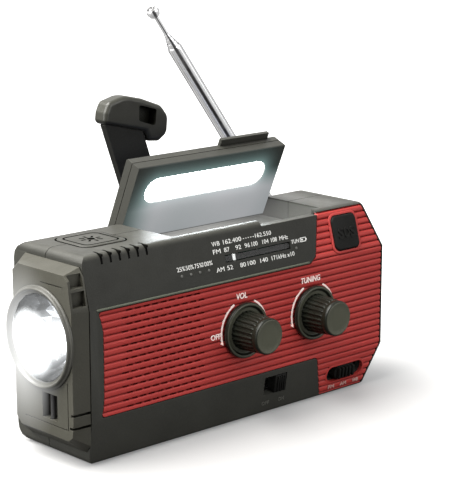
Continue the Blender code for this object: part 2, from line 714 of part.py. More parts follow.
def crank_arm():
    arm = extrude('y', round_poly([
        (-ARM_W, -9.8, 8.3), (ARM_W, -9.8, 8.3), (ARM_W, ARM_TOP_R, .5),
        (-ARM_W, ARM_TOP_L, .5)], 6), ARM_Y0, ARM_Y1)
    round_edges(arm, 0.5, 1)
    cut(arm, cylinder('y', (0, 0), 3.8, 50, 70, 24))
    cut(arm, extrude('y', rounded_rect((-5.6, 5.6, 14, 60), 3), 61.2, 70))   # rear hollow
    cut(arm, cylinder('x', GRIP_PIN, GRIP_PIN_HOLE_R, -4.3, 20, 16))
    moving("crank_arm", arm, crank_frame, CASE)


def crank_shaft():
    shaft = cylinder('y', (0, 0), 3.5, 33.6, 63.6, 24)
    add(shaft, cylinder('y', (0, 0), 6.8, 62.5, 63.8))
    moving("crank_shaft", shaft, crank_frame, STEEL)


def crank_grip():
    corners = [(*in_crank(x, z), radius) for x, z, radius in GRIP]
    side = ARM_W + .6                       # runs down beside the arm's short side
    corners += [(side, corners[-1][1] + 1.6), (side, ARM_TOP_R + .2)]
    grip = extrude('y', round_poly(corners), GRIP_Y0, GRIP_Y1)
    round_edges(grip, 1.4, 1)
    cut(grip, extrude('y', [in_crank(x, z) for x, z in GRIP_HOLLOW], 50, 62))
    cut(grip, cylinder('x', GRIP_PIN, GRIP_PIN_HOLE_R, 5, 17.3, 16))
    origin = (0, *GRIP_PIN)
    moving("crank_grip", grip, axis_frame("grip_axis", origin, parent=crank_frame), CASE, origin)
    moving("grip_pin", cylinder('x', GRIP_PIN, 0.85, -4.0, 17.0, 16), crank_frame, STEEL)


crank_arm()
crank_shaft()
crank_grip()


# ---------------------------------------------------------------- gears and dynamo
def gear(teeth, turn, y0, y1):
    """Straight-flanked gear about y; turn is the angle of a tooth's middle in degrees."""
    pitch_r = teeth * GEAR_M / 2
    tip_r, root_r = pitch_r + ADDENDUM * GEAR_M, pitch_r - DEDENDUM * GEAR_M
    half = TOOTH_SHARE * pi * GEAR_M / 2
    slope = tan(radians(FLANK_ANGLE))
    tip = (half - ADDENDUM * GEAR_M * slope) / tip_r
    root = (half + DEDENDUM * GEAR_M * slope) / root_r
    outline = []
    for tooth in range(teeth):
        middle = radians(turn) + 2 * pi * tooth / teeth
        for r, a in ((root_r, -root), (tip_r, -tip), (tip_r, tip), (root_r, root)):
            outline.append((r * cos(middle + a), r * sin(middle + a)))
    return extrude('y', outline, y0, y1)


def mesh_turn(driver_teeth, line, teeth):
    """Turn of a gear whose gap meets a tooth of a driver of turn 0 on the line of centres."""
    phase = (line / 360 * driver_teeth) % 1.0
    return line + 180 + (phase + 0.5) * 360 / teeth


def meshed_centre(x, z, teeth, line):
    distance = GEAR_M * teeth / 2
    return x + distance * cos(radians(line)), z + distance * sin(radians(line))


IDLER = meshed_centre(CRANK_X, CRANK_Z, CRANK_TEETH + PINION_TEETH, IDLER_ANGLE)
ROTOR = meshed_centre(*IDLER, WHEEL_TEETH + ROTOR_TEETH, ROTOR_ANGLE)
DYNAMO_CAN = [(0, 17.4), (12.0, 17.4), (12.0, 29.6), (2.2, 29.6), (2.2, 28.4), (10.4, 28.4),
              (10.4, 18.6), (0, 18.6)]      # radius, y


def gear_train():
    # turned back by the crank's lean, so that it is at turn 0 in the case
    crank_gear = gear(CRANK_TEETH, -CRANK_LEAN, 36.0, 39.0)
    cut(crank_gear, cylinder('y', (0, 0), 3.8, 30, 50, 24))
    moving("crank_gear", crank_gear, crank_frame, NYLON)

    # pinion driven by the crank gear, wheel driving the rotor, and their spindle
    idler = gear(PINION_TEETH, mesh_turn(CRANK_TEETH, IDLER_ANGLE, PINION_TEETH), 34.8, 39.0)
    add(idler, gear(WHEEL_TEETH, 0, 32.4, 35.2))
    add(idler, cylinder('y', (0, 0), 1.6, 30.4, 43.6, 16))
    moving("idler_gear", idler, axis_frame("idler_axis", (IDLER[0], 0, IDLER[1])), NYLON)

    rotor = gear(ROTOR_TEETH, mesh_turn(WHEEL_TEETH, ROTOR_ANGLE, ROTOR_TEETH), 32.4, 35.4)
    add(rotor, cylinder('y', (0, 0), 1.5, 26, 43.0, 16))
    add(rotor, cylinder('y', (0, 0), 9.4, 19.4, 27.6, 16))
    moving("dynamo_rotor", rotor, axis_frame("rotor_axis", (ROTOR[0], 0, ROTOR[1])), DYNAMO)


def gear_bracket():
    bracket = box(84, 144, 30.0, 31.6, 14, 56, bevel=1.0)
    cut(bracket, cylinder('y', IDLER, 1.95, 20, 40, 16), cylinder('y', ROTOR, 2.2, 20, 40, 16))
    fixed("gear_bracket", bracket, STEEL)


gear_train()
fixed("dynamo_housing", lathe('y', ROTOR, DYNAMO_CAN, 24), DYNAMO)
gear_bracket()

# ---------------------------------------------------------------- antenna
# Drawn upright in its own frame, z from the pivot.
ANTENNA_BASE = [(1.8, 46.8), (6.6, 46.8), (6.6, 48.6), (5.6, 49.7), (1.8, 49.7)]  # radius, y
# Inner tubes: outer radius, bore, start, end.
TUBES = [(2.4, 2.05, 12.0, 98.2), (1.85, 1.5, 14.0, 100.4), (1.3, 0.98, 16.0, 102.6)]
ANTENNA_TIP = [(0, 112.0), (1.8, 112.0), (2.5, 112.8), (2.5, 115.2), (1.8, 116.2),
               (0, 116.2)]                  # radius, z


def antenna_pivot():
    pivot = (ANT_X, ANT_Z)
    fixed("antenna_base", lathe('y', pivot, ANTENNA_BASE, 24), CASE)
    screw = cylinder('y', pivot, 1.5, 47.2, 56.4, 16)
    add(screw, cylinder('y', pivot, 3.2, 56.2, 57.0, 24))
    cut(screw, box(ANT_X - 4, ANT_X + 4, 56.7, 58, ANT_Z - .4, ANT_Z + .4))
    fixed("antenna_pivot_screw", screw, STEEL)


def antenna():
    frame = axis_frame("antenna_axis", (ANT_X, ANT_Y, ANT_Z), (0, radians(-ANT_LEAN), 0))
    outer = cylinder('z', (0, 0), 3.0, 3.0, 96.0, 24)
    add(outer, cylinder('y', (0, 0), 4.6, -2.9, 2.9, 28))   # pivot eye
    cut(outer, cylinder('z', (0, 0), 2.62, 9.0, 99, 24))
    cut(outer, cylinder('y', (0, 0), 1.8, -10, 10, 16))
    moving("antenna_tube_1", outer, frame, CHROME)
    for i, (radius, bore, z0, z1) in enumerate(TUBES, 2):
        profile = [(bore, z0), (radius, z0), (radius, z1), (bore, z1)]
        moving(f"antenna_tube_{i}", lathe('z', (0, 0), profile, 20), frame, CHROME)
    moving("antenna_rod", cylinder('z', (0, 0), 0.86, 26.0, 111.6, 12), frame, CHROME)
    moving("antenna_tip", lathe('z', (0, 0), ANTENNA_TIP, 20), frame, CHROME)


antenna_pivot()
antenna()

# ---------------------------------------------------------------- ports at the +X end
HEADPHONE = (24.0, 29.2)                    # y, z


def ports():
    cover = box(160.3, 161.9, 12.2, 40.2, 20.4, 52.6, bevel=0.5, segments=2)
    jointed("port_cover", cover, "port_cover_axis", RUBBER, (161.5, 40.6, 36.5))
    usb_out = box(146.0, 156.6, 20.0, 27.0, 35.6, 49.4)
    cut(usb_out, box(148, 160, 20.7, 26.3, 36.3, 48.7))
    fixed("usb_out_port", usb_out, STEEL)
    usb_in = extrude('x', rounded_rect((30.0, 34.4, 36.0, 45.6), 1.6), 147.6, 156.6)
    cut(usb_in, extrude('x', rounded_rect((30.5, 33.9, 36.5, 45.1), 1.2), 149, 160))
    fixed("usb_in_port", usb_in, STEEL)
    jack = cylinder('x', HEADPHONE, 3.6, 146.0, 157.2, 24)
    cut(jack, cylinder('x', HEADPHONE, 1.9, 148.0, 160, 20))
    fixed("headphone_jack", jack, DARK)


ports()

# ---------------------------------------------------------------- battery and inside
# Turned profiles: radius, y.
SPEAKER_FRAME = [(20.2, 4.3), (22.6, 4.3), (22.6, 5.8), (20.6, 6.6), (13.0, 14.8),
                 (11.6, 14.8), (11.6, 13.6), (19.0, 6.2), (20.2, 5.4)]
SPEAKER_CONE = [(0, 10.4), (4.6, 11.2), (18.4, 5.7), (19.4, 5.1), (19.4, 4.5), (18.2, 4.9),
                (4.5, 10.2), (0, 9.4)]


def battery_door():
    x0, x1, z0, z1 = BATTERY_DOOR
    door = box(x0, x1, CASE_D - 1.6, CASE_D, z0, z1)
    # four grooves near the -X edge
    cut(door, joined([box(18, 26, 46.0, 47, 12 + 2.2 * k, 13 + 2.2 * k) for k in range(4)]))
    x, z = centre_of(BATTERY_DOOR)
    jointed("battery_door", door, "battery_door_axis", CASE, (x, CASE_D, z))


fixed("main_pcb", box(62, 143.6, 14.6, 16.2, 20.5, 66.5), BOARD)
fixed("battery_cell", cylinder('x', (33.0, 14.4), 9.2, 14.2, 78.8), BATTERY)
battery_door()
fixed("speaker_frame", lathe('y', SPEAKER, SPEAKER_FRAME, 24), STEEL)
fixed("speaker_cone", lathe('y', SPEAKER, SPEAKER_CONE, 24), PAPER)
fixed("speaker_magnet", cylinder('y', SPEAKER, 12.0, 15.1, 21.0), MAGNET)
fixed("ferrite_rod", cylinder('x', (23.2, 63.2), 4.4, 64, 124, 24), FERRITE)
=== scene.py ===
# Emergency radio with torch head, solar lid, crank and telescopic antenna: the looks, built
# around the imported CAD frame.
# Case coordinates in millimetres: x from the torch seam (the head is at negative x), y inward
# from the front face, z up from the underside.  TO_FRAME brings them to the frame's metres.
import bpy
import bmesh
from contextlib import contextmanager
from math import sin, cos, tan, pi, radians, atan2, hypot, acos
from mathutils import Matrix, Vector

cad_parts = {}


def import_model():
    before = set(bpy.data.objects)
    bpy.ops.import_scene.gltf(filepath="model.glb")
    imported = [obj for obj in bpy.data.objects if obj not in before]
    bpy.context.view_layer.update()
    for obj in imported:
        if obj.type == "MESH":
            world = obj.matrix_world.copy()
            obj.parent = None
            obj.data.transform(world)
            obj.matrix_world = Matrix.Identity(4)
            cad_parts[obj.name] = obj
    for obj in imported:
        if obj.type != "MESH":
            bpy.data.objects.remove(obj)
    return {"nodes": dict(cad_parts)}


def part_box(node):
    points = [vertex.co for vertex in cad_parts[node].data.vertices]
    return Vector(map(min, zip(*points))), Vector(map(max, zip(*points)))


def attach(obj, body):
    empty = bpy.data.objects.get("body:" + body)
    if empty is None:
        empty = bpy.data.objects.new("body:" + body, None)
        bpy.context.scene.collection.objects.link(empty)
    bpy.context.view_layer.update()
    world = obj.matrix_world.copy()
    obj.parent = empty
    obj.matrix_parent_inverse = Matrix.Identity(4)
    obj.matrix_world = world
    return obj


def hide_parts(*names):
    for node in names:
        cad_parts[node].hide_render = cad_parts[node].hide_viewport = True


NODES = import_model()["nodes"]


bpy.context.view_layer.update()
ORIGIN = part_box("front_shell")[0]
TO_FRAME = Matrix.Translation(ORIGIN) @ Matrix.Scale(0.001, 4)
TO_CASE = TO_FRAME.inverted()
SCENE = bpy.context.scene

# ------------------------------------------------------------------ shared dimensions (mm)
CASE_L, CASE_H = 160.0, 80.0
CREASE_LO, CREASE_HI = 17.35, 60.5      # heights where the front face starts to lean back
LEAN_LO, LEAN_HI = 2.5, 5.4             # how far it leans at the underside and at the top
CHAMFER_TOP, CHAMFER_BOT = 8.3, 9.4     # corner chamfers at the far end, measured in x
PANEL_T = 1.7
ANGLE_HI = atan2(LEAN_HI, CASE_H - CREASE_HI)
ANGLE_LO = atan2(LEAN_LO, CREASE_LO)
# Frames of the leaning facets: origin on the crease, x along it, y inward, z up the facet.
UPPER = Matrix.Translation((0, 0, CREASE_HI)) @ Matrix.Rotation(-ANGLE_HI, 4, 'X')
LOWER = Matrix.Translation((0, 0, CREASE_LO)) @ Matrix.Rotation(ANGLE_LO, 4, 'X')

VOLUME, TUNING = (78.2, 38.7), (117.5, 38.7)    # knob axes (x, z)
ALARM = (131.3, 145.7, 1.8, 16.3)       # alarm button on the upper facet: x0, x1, z0, z1
BAND = (138.8, -9.0)                    # band switch centre on the lower facet
BAND_HOLE = (11, 3.3)                   # half width and half height of its opening
LAMP_BUTTON = (11.0, 32.4, 15.8, 36.4)  # on the top: x0, x1, y0, y1
TORCH = (19.5, 48.2)                    # torch axis (y, z)

LID_OPEN = 66.6                         # degrees
LID_SEAT = Matrix.Translation((75.0, 43.3, 73.8))
LID_TURN = Matrix.Rotation(radians(-LID_OPEN), 4, 'X')
LID_LAMP = (-19.7, 45.6, -27.2, -16.2)  # lamp cover in the closed lid's frame: x0, x1, y0, y1
LID_LAMP_R = 5.4

CRANK = (92.0, 42.0)                    # crank axis (x, z)
CRANK_LEAN = radians(19.6)
CRANK_FRAME = Matrix.Translation((CRANK[0], 0, CRANK[1])) @ Matrix.Rotation(-CRANK_LEAN, 4, 'Y')
ANTENNA_LEAN = radians(36.8)
ANTENNA_FRAME = (Matrix.Translation((145.7, 53.0, 70.0))
                 @ Matrix.Rotation(-ANTENNA_LEAN, 4, 'Y'))

PIECES = bpy.data.collections.new("looks")
SCENE.collection.children.link(PIECES)


# ------------------------------------------------------------------ shader helpers
def maths(kind, swapped=False):
    """Method that adds a Math node of this kind."""
    def make(self, other=0.0):
        first, second = (other, self) if swapped else (self, other)
        return self.graph.math(kind, first, second)
    return make


class Signal:
    """A node's output. Arithmetic and comparison on it add Math nodes."""
    def __init__(self, graph, socket):
        self.graph = graph
        self.socket = socket

    __add__ = maths('ADD')
    __sub__ = maths('SUBTRACT')
    __rsub__ = maths('SUBTRACT', swapped=True)
    __mul__ = maths('MULTIPLY')
    __pow__ = maths('POWER')
    __rpow__ = maths('POWER', swapped=True)
    __lt__ = maths('LESS_THAN')
    __gt__ = maths('GREATER_THAN')
    __abs__ = maths('ABSOLUTE')
    sqrt = maths('SQRT')
    fraction = maths('FRACT')

    def fit(self, of=(0.3, 0.7), to=(0.0, 1.0), smooth=False):
        """Map the range `of` onto `to`. The default range is where most noise lies."""
        inputs = {"From Min": of[0], "From Max": of[1], "To Min": to[0], "To Max": to[1],
                  "Value": self}
        blend = 'SMOOTHSTEP' if smooth else 'LINEAR'
        return self.graph.add("ShaderNodeMapRange", "Result", inputs, interpolation_type=blend)


class Graph:
    """A node tree with short helpers; textures lie in the given texture coordinate."""
    def __init__(self, tree, coordinate):
        self.tree = tree
        self.place = self.add("ShaderNodeTexCoord", coordinate)

    def node(self, kind, **properties):
        node = self.tree.nodes.new(kind)
        for name, value in properties.items():
            setattr(node, name, value)
        return node

    def put(self, socket, value):
        """Link a signal or socket, or set a plain value."""
        value = getattr(value, "socket", value)
        if isinstance(value, bpy.types.NodeSocket):
            self.tree.links.new(value, socket)
        else:
            socket.default_value = value

    def add(self, kind, output, inputs=None, **properties):
        """New node with its inputs filled; returns one output as a Signal."""
        node = self.node(kind, **properties)
        for name, value in (inputs or {}).items():
            self.put(node.inputs[name], value)
        return Signal(self, node.outputs[output])

    def math(self, kind, first, second):
        return self.add("ShaderNodeMath", 0, {0: first, 1: second}, operation=kind)

    def split(self, source=None):
        node = self.node("ShaderNodeSeparateXYZ")
        self.put(node.inputs[0], source or self.place)
        return [Signal(self, socket) for socket in node.outputs]

    def mix_shader(self, fac, first, second):
        return self.add("ShaderNodeMixShader", 0, {0: fac, 1: first, 2: second})


INPUT_NAMES = dict(color="Base Color", rough="Roughness", metal="Metallic", alpha="Alpha",
                   spec="Specular IOR Level", coat="Coat Weight", coat_rough="Coat Roughness",
                   normal="Normal", emit="Emission Color", glow="Emission Strength")


class Material(Graph):
    """A Principled material. Texture space is the object's own, in metres."""
    def __init__(self, name):
        self.material = bpy.data.materials.new(name)
        self.material.use_nodes = True
        super().__init__(self.material.node_tree, "Object")
        self.shader = self.tree.nodes["Principled BSDF"]

    def mapped(self, scale=(1, 1, 1), loc=(0, 0, 0), rot=(0, 0, 0)):
        return self.add("ShaderNodeMapping", "Vector", {
            "Scale": scale, "Location": loc, "Rotation": rot, "Vector": self.place})

    def noise(self, scale, detail=2.0, rough=0.5, source=None):
        return self.add("ShaderNodeTexNoise", "Fac", {
            "Scale": scale, "Detail": detail, "Roughness": rough, "Vector": source or self.place})

    def voronoi(self, scale):
        return self.add("ShaderNodeTexVoronoi", "Distance", {"Scale": scale, "Vector": self.place})

    def geometry(self, output="Normal"):
        return self.add("ShaderNodeNewGeometry", output)

    def occlusion(self, distance):
        return self.add("ShaderNodeAmbientOcclusion", "AO", {"Distance": distance}, samples=4)

    def mix(self, fac, first, second):
        node = self.node("ShaderNodeMix", data_type='RGBA')
        self.put(node.inputs["Factor"], fac)
        sockets = [socket for socket in node.inputs if socket.type == 'RGBA']
        for socket, value in zip(sockets, (first, second)):
            self.put(socket, (*value, 1) if isinstance(value, tuple) else value)
        return Signal(self, [socket for socket in node.outputs if socket.type == 'RGBA'][0])

    def bump(self, height, strength, distance=0.0001):
        return self.add("ShaderNodeBump", "Normal", {
            "Strength": strength, "Distance": distance, "Height": height})

    def set(self, **values):
        """Fill the shader's inputs; returns the finished material."""
        for name, value in values.items():
            if isinstance(value, tuple):
                value = (*value, 1)
            self.put(self.shader.inputs[INPUT_NAMES[name]], value)
        return self.material


def shade(col, factor, lift=0.0):
    """Colour scaled and lifted, held at 1."""
    return tuple(min(1, value * factor + lift) for value in col)


def edge_mask(mat):
    """1 along sharp edges: where the rounded normal leaves the true one."""
    bevel = mat.add("ShaderNodeBevel", 0, {"Radius": 0.0005}, samples=3)
    dot = mat.add("ShaderNodeVectorMath", "Value", {0: bevel, 1: mat.geometry()},
                  operation='DOT_PRODUCT')
    return (1.0 - dot).fit(of=(0.02, 0.25))


def case_mm(mat):
    """Position x, y, z in case millimetres."""
    return mat.split(mat.mapped(scale=(1000, 1000, 1000), loc=tuple(-v * 1000 for v in ORIGIN)))


def between(value, low, high, soft=0.3):
    """1 from low to high, fading over `soft` to each side of both ends."""
    return (value.fit(of=(low - soft, low + soft))
            * value.fit(of=(high - soft, high + soft), to=(1, 0)))


# ------------------------------------------------------------------ light lying on the case
def recess_spill(mat):
    """The lid lamp's light in the lid recess, thinner over its high-x end and its top."""
    x, y, z = case_mm(mat)
    up = mat.split(mat.geometry())[2]
    well = between(x, low=47.2, high=129.8) * (between(y, low=8.2, high=46.2, soft=0.15)
                                               * between(z, low=71.2, high=79.4, soft=0.2))
    along = x.fit(of=(96, 129.8), to=(1.0, 0.42)) * z.fit(of=(71.5, 79.5), to=(1.0, 0.55))
    top = (up.fit(of=(0.90, 0.98)) * between(y, low=8.5, high=60, soft=2.5)
           * (between(x, low=129.6, high=143, soft=4.0) * y.fit(of=(8, 26), to=(0.35, 1.0))))
    amount = well * along * 0.34 + top * 0.14
    cloud = mat.noise(scale=40, detail=3)
    return dict(emit=mat.mix(cloud, (0.84, 0.84, 0.81), (0.90, 0.90, 0.87)),
                glow=amount * cloud.fit(to=(0.92, 1.08)))


def torch_spill(mat):
    """Bloom of the torch on the head round its lens, strongest towards the back and below."""
    x, y, z = case_mm(mat)
    off_y = y - (TORCH[0] + 13.0)
    off_z = z - (TORCH[1] - 7.0)
    radius = (off_y * off_y + off_z * off_z * 0.45).sqrt()
    lobe = radius.fit(of=(6.0, 27.0), to=(1.0, 0.0)) ** 1.6 * x.fit(of=(-5.0, -8.0))
    cloud = mat.noise(scale=40, detail=3)
    return dict(emit=mat.mix(cloud, (0.93, 0.94, 0.94), (0.97, 0.98, 0.98)), glow=lobe * 0.75)


# ------------------------------------------------------------------ general materials
def plastic(name, col, rough=0.55, grain=1500, bump=0.35, var=0.14, spec=0.45, wear=0.0,
            dust=0.0, hollow_shade_reach=0.0, face=None, leaning_shade=0.0, underside_shade=0.0, low=None, spill=None):
    """Moulded plastic with a spark-eroded grain and cloudy colour.
    wear rubs the edges, dust settles on top, crevice is the reach in metres of painted shade
    that darkens hollows and takes their shine, face recolours what looks forward, slope paints
    shade on leaning faces and dims their shine, under paints shade on undersides, low is a
    height range over which painted shade darkens towards the bottom, spill adds light lying on
    the surface."""
    mat = Material(name)
    cloud = mat.noise(scale=38, detail=4, rough=0.6)
    speck = mat.noise(scale=2600, detail=1)
    base = mat.mix(cloud.fit(), shade(col, 1 - var), shade(col, 1 + var))
    base = mat.mix(speck.fit(of=(0.45, 0.75), to=(0.0, 0.35)), base, shade(col, 1.5, lift=0.006))
    if wear:
        scratch = mat.noise(scale=420, detail=3, rough=0.7, source=mat.mapped())
        rubbed = edge_mask(mat) * scratch.fit(of=(0.35, 0.62), to=(0.15, 1.0))
        base = mat.mix(rubbed * wear, base, shade(col, 1.9, lift=0.022))
    if dust:
        up = mat.split(mat.geometry())[2].fit(of=(0.3, 1.0))
        patches = mat.noise(scale=90, detail=5, rough=0.7).fit(of=(0.4, 0.75), to=(0.2, 1))
        base = mat.mix(up * patches * dust, base, (0.32, 0.31, 0.28))
    if face:
        front = mat.split(mat.geometry())[1] * -1.0
        base = mat.mix(front.fit(of=(0.80, 0.97)), base,
                       mat.mix(cloud, shade(face, 0.88), shade(face, 1.12)))
    # Painted shade: faces that lean back, like the upper front facet, are darkened.
    if leaning_shade:
        up = mat.split(mat.geometry())[2]
        lean_shade_mask = up.fit(of=(0.08, 0.22)) * up.fit(of=(0.40, 0.80), to=(1, 0))
        base = mat.mix(lean_shade_mask * leaning_shade, base, (0.004, 0.004, 0.003))
    # Painted shade: faces turned downward are darkened.
    if underside_shade:
        up = mat.split(mat.geometry())[2]
        base = mat.mix(up.fit(of=(0.25, -0.45), to=(0.0, underside_shade)), base, (0.003, 0.003, 0.002))
    # Painted shade: darker towards the bottom of the given height range, in object z.
    if low:
        base = mat.mix(mat.split()[2].fit(of=low, to=(0.80, 0.0)), base, (0.003, 0.003, 0.002))
    if spill:
        mat.set(**spill(mat))
    shine = spec
    # Painted shade: hollows found by ambient occlusion are darkened and lose their shine.
    if hollow_shade_reach:
        shade_in_hollows = mat.occlusion(hollow_shade_reach).fit(of=(0.25, 0.80), to=(1.0, 0.0))
        base = mat.mix(shade_in_hollows * 0.9, base, shade(col, 0.10))
        shine = shade_in_hollows.fit(of=(0.0, 1.0), to=(spec, 0.04))
    # Painted shade: the leaning faces also lose part of their shine.
    if leaning_shade:
        shine = mat.math('MULTIPLY', shine, lean_shade_mask.fit(of=(0.0, 1.0), to=(1.0, 0.62)))
    uneven = mat.noise(scale=160, detail=4, rough=0.65).fit(to=(rough - 0.07, rough + 0.07))
    height = mat.noise(scale=grain, rough=0.6) * 1.0 + mat.voronoi(scale=grain * 0.7) * 0.6
    return mat.set(color=base, rough=uneven, spec=shine, normal=mat.bump(height, strength=bump))


def metal(name, col, rough):
    """Brushed metal, streaked across z."""
    mat = Material(name)
    streak = mat.noise(scale=1.0, detail=3, rough=0.6, source=mat.mapped(scale=(30, 30, 900)))
    cloud = mat.noise(scale=60, detail=3)
    base = mat.mix(streak.fit(), shade(col, 0.92), shade(col, 1.08))
    base = mat.mix(cloud.fit(of=(0.5, 0.8), to=(0, 0.2)), base, shade(col, 0.7))
    return mat.set(color=base, metal=1.0, rough=streak.fit(to=(rough - 0.06, rough + 0.06)),
                   normal=mat.bump(streak, strength=0.08, distance=0.00005))


def print_paint(name, col, lift=0.0):
    """Pad-printed ink, slightly uneven; lift adds a little emission, painted light that brightens
    the ink.
    """
    mat = Material(name)
    uneven = mat.noise(scale=1300, detail=3, rough=0.7)
    base = mat.mix(uneven.fit(of=(0.30, 0.62)), shade(col, 0.72), col)
    return mat.set(color=base, rough=uneven.fit(to=(0.6, 0.4)), emit=base, glow=lift,
                   normal=mat.bump(uneven, strength=0.25, distance=0.00005))


# Flat black for the printed sun icon, and for the groove fills that paint shade in the grooves.
def black_ink_and_shade():
    mat = Material("black_ink_and_shade")
    uneven = mat.noise(scale=900, detail=3, rough=0.6)
    return mat.set(color=mat.mix(uneven, (0.003, 0.003, 0.003), (0.008, 0.008, 0.007)),
                   rough=0.95, spec=0.0,
                   normal=mat.bump(uneven, strength=0.2, distance=0.00005))


def lit(name, col, strength):
    """Surface that glows evenly by its own emission."""
    mat = Material(name)
    uneven = mat.noise(scale=900)
    return mat.set(color=col, emit=mat.mix(uneven, col, shade(col, 1.05)), rough=0.3,
                   glow=uneven.fit(to=(strength * 0.9, strength * 1.1)))


# ------------------------------------------------------------------ materials of single parts
def red_plastic():
    """Red satin plastic, with painted shade darkening it down in the grooves."""
    mat = Material("panel_red")
    cloud = mat.noise(scale=30, detail=4, rough=0.6)
    streak = mat.noise(scale=1.0, detail=3, rough=0.6, source=mat.mapped(scale=(14, 60, 900)))
    base = mat.mix(cloud.fit(), (0.405, 0.033, 0.029), (0.490, 0.045, 0.039))
    base = mat.mix(streak.fit(of=(0.4, 0.75), to=(0.0, 0.35)), base, (0.52, 0.066, 0.054))
    # Painted shade: the grooves, found by ambient occlusion, are darkened.
    groove_shade = mat.occlusion(0.0009).fit(of=(0.35, 0.92), to=(1.0, 0.0))
    base = mat.mix(groove_shade * 0.8, base, (0.045, 0.006, 0.006))
    height = mat.noise(scale=1700, rough=0.6) + mat.voronoi(scale=1100) * 0.5
    uneven = mat.noise(scale=150, detail=4, rough=0.6)
    return mat.set(color=base, rough=uneven.fit(to=(0.40, 0.54)), spec=0.32,
                   normal=mat.bump(height, strength=0.28))


# Painted reflection: what the antenna seems to reflect, painted into its colour across it in view:
# (place, brightness).
CHROME_REFLECTION_STOPS = (
    (0.00, 0.03), (0.03, 0.05), (0.06, 0.70), (0.12, 0.85), (0.17, 0.50), (0.21, 0.88),
    (0.30, 0.62), (0.36, 0.90), (0.42, 0.16), (0.46, 0.03), (0.60, 0.05), (0.655, 0.55),
    (0.70, 1.0), (0.92, 1.0), (0.955, 0.25), (0.98, 0.04), (1.0, 0.03))


def chrome():
    """Polished chrome whose colour is a painted reflection of a white studio with a dark flag and
    dark rims, set by the view, with a little painted glow, plus smudges.
    """
    mat = Material("antenna_chrome")
    scratch = mat.noise(scale=1.0, detail=4, rough=0.7,
                        source=mat.mapped(scale=(2500, 2500, 60), rot=(0, ANTENNA_LEAN, 0)))
    smudge = mat.noise(scale=140, detail=4, rough=0.6)
    view = mat.add("ShaderNodeVectorTransform", 0, {0: mat.geometry()},
                   vector_type='NORMAL', convert_from='WORLD', convert_to='CAMERA')
    view_x, view_y, view_z = mat.split(view)
    # Across the leaning tube: the view normal turned by 30 degrees.
    across = view_x * 0.866 + view_y * 0.5
    across = across + (smudge - 0.5) * 0.08
    studio = mat.add("ShaderNodeValToRGB", 0, {0: across.fit(of=(-1.0, 1.0))})
    stops = studio.socket.node.color_ramp.elements
    for stop, (place, reflection_tone) in zip(stops, (CHROME_REFLECTION_STOPS[0], CHROME_REFLECTION_STOPS[-1])):
        stop.position = place
        stop.color = (reflection_tone, reflection_tone, reflection_tone, 1)
    for place, reflection_tone in CHROME_REFLECTION_STOPS[1:-1]:
        stops.new(place).color = (reflection_tone, reflection_tone, reflection_tone * 1.01, 1)
    base = mat.mix(smudge.fit(of=(0.45, 0.75), to=(0, 0.25)), studio, (0.55, 0.55, 0.56))
    # Painted light: the painted reflection also glows a little by emission.
    return mat.set(color=base, metal=0.75, spec=0.5, emit=base, glow=0.30,
                   rough=(scratch + smudge * 0.6).fit(of=(0.4, 1.1), to=(0.10, 0.24)),
                   normal=mat.bump(scratch, strength=0.05, distance=0.00003))


def mirror():
    """Metallised facets, unevenly mottled, coloured as a painted reflection, each flat facet dark
    or light and the outer bowl dark, with a painted glow climbing out of the lamp's neck.
    """
    mat = Material("reflector_mirror")
    uneven = mat.noise(scale=500)
    x, y, z = mat.split(mat.mapped(loc=(0, -(ORIGIN.y + TORCH[0] / 1000),
                                        -(ORIGIN.z + TORCH[1] / 1000))))
    radius = (y * y + z * z).sqrt()
    normal_x, normal_y, normal_z = mat.split(mat.geometry("True Normal"))
    # The factors scatter the facet normals, so each flat facet gets its own painted reflection,
    # dark or light.
    key = ((normal_y * 7.31 + (normal_z * 13.7 + normal_x * 5.9)) * 3.17).fraction()
    reflection_tone = mat.mix(key > 0.55, (0.06, 0.06, 0.06), (0.80, 0.81, 0.83))
    # Painted reflection: the outer part of the bowl is painted nearly black.
    reflection_tone = mat.mix(radius.fit(of=(0.0095, 0.0145), to=(0.0, 0.93)), reflection_tone, (0.03, 0.03, 0.03))
    base = mat.mix(uneven.fit(of=(0.4, 0.7), to=(0, 0.2)), reflection_tone, (0.12, 0.12, 0.12))
    # Painted light: a glow lobe round the lamp's neck, emitted by the mirror.
    glow_y = y + -0.0060
    glow_z = z + 0.0040
    lobe = (glow_y * glow_y + glow_z * glow_z).sqrt().fit(of=(0.0020, 0.0150), to=(1.0, 0.0))
    return mat.set(color=base, metal=1.0, rough=uneven.fit(to=(0.10, 0.20)),
                   normal=mat.bump(uneven, strength=0.05, distance=0.00005),
                   emit=(0.94, 0.97, 1.0), glow=lobe ** 2.4 * 2.2)


def lit_lens():
    """Clear lens; the lamp's glare washes out its middle and back, leaving the rim clear."""
    mat = Material("torch_lens")
    x, y, z = case_mm(mat)
    off_y = y - (TORCH[0] + 5.0)
    off_z = z - (TORCH[1] - 3.2)
    radius = (off_y * off_y + off_z * off_z).sqrt()
    uneven = mat.noise(scale=180, detail=3, rough=0.6)
    glare = (radius + uneven * 1.2).fit(of=(6.5, 15.5), to=(1.0, 0.0)) ** 1.6
    return mat.set(color=(0.85, 0.88, 0.90), rough=uneven.fit(to=(0.04, 0.09)), spec=0.6,
                   alpha=glare.fit(of=(0.0, 0.50), to=(0.05, 0.92)), emit=(0.96, 0.98, 1.0),
                   glow=glare * 1.9, normal=mat.bump(uneven, strength=0.03))


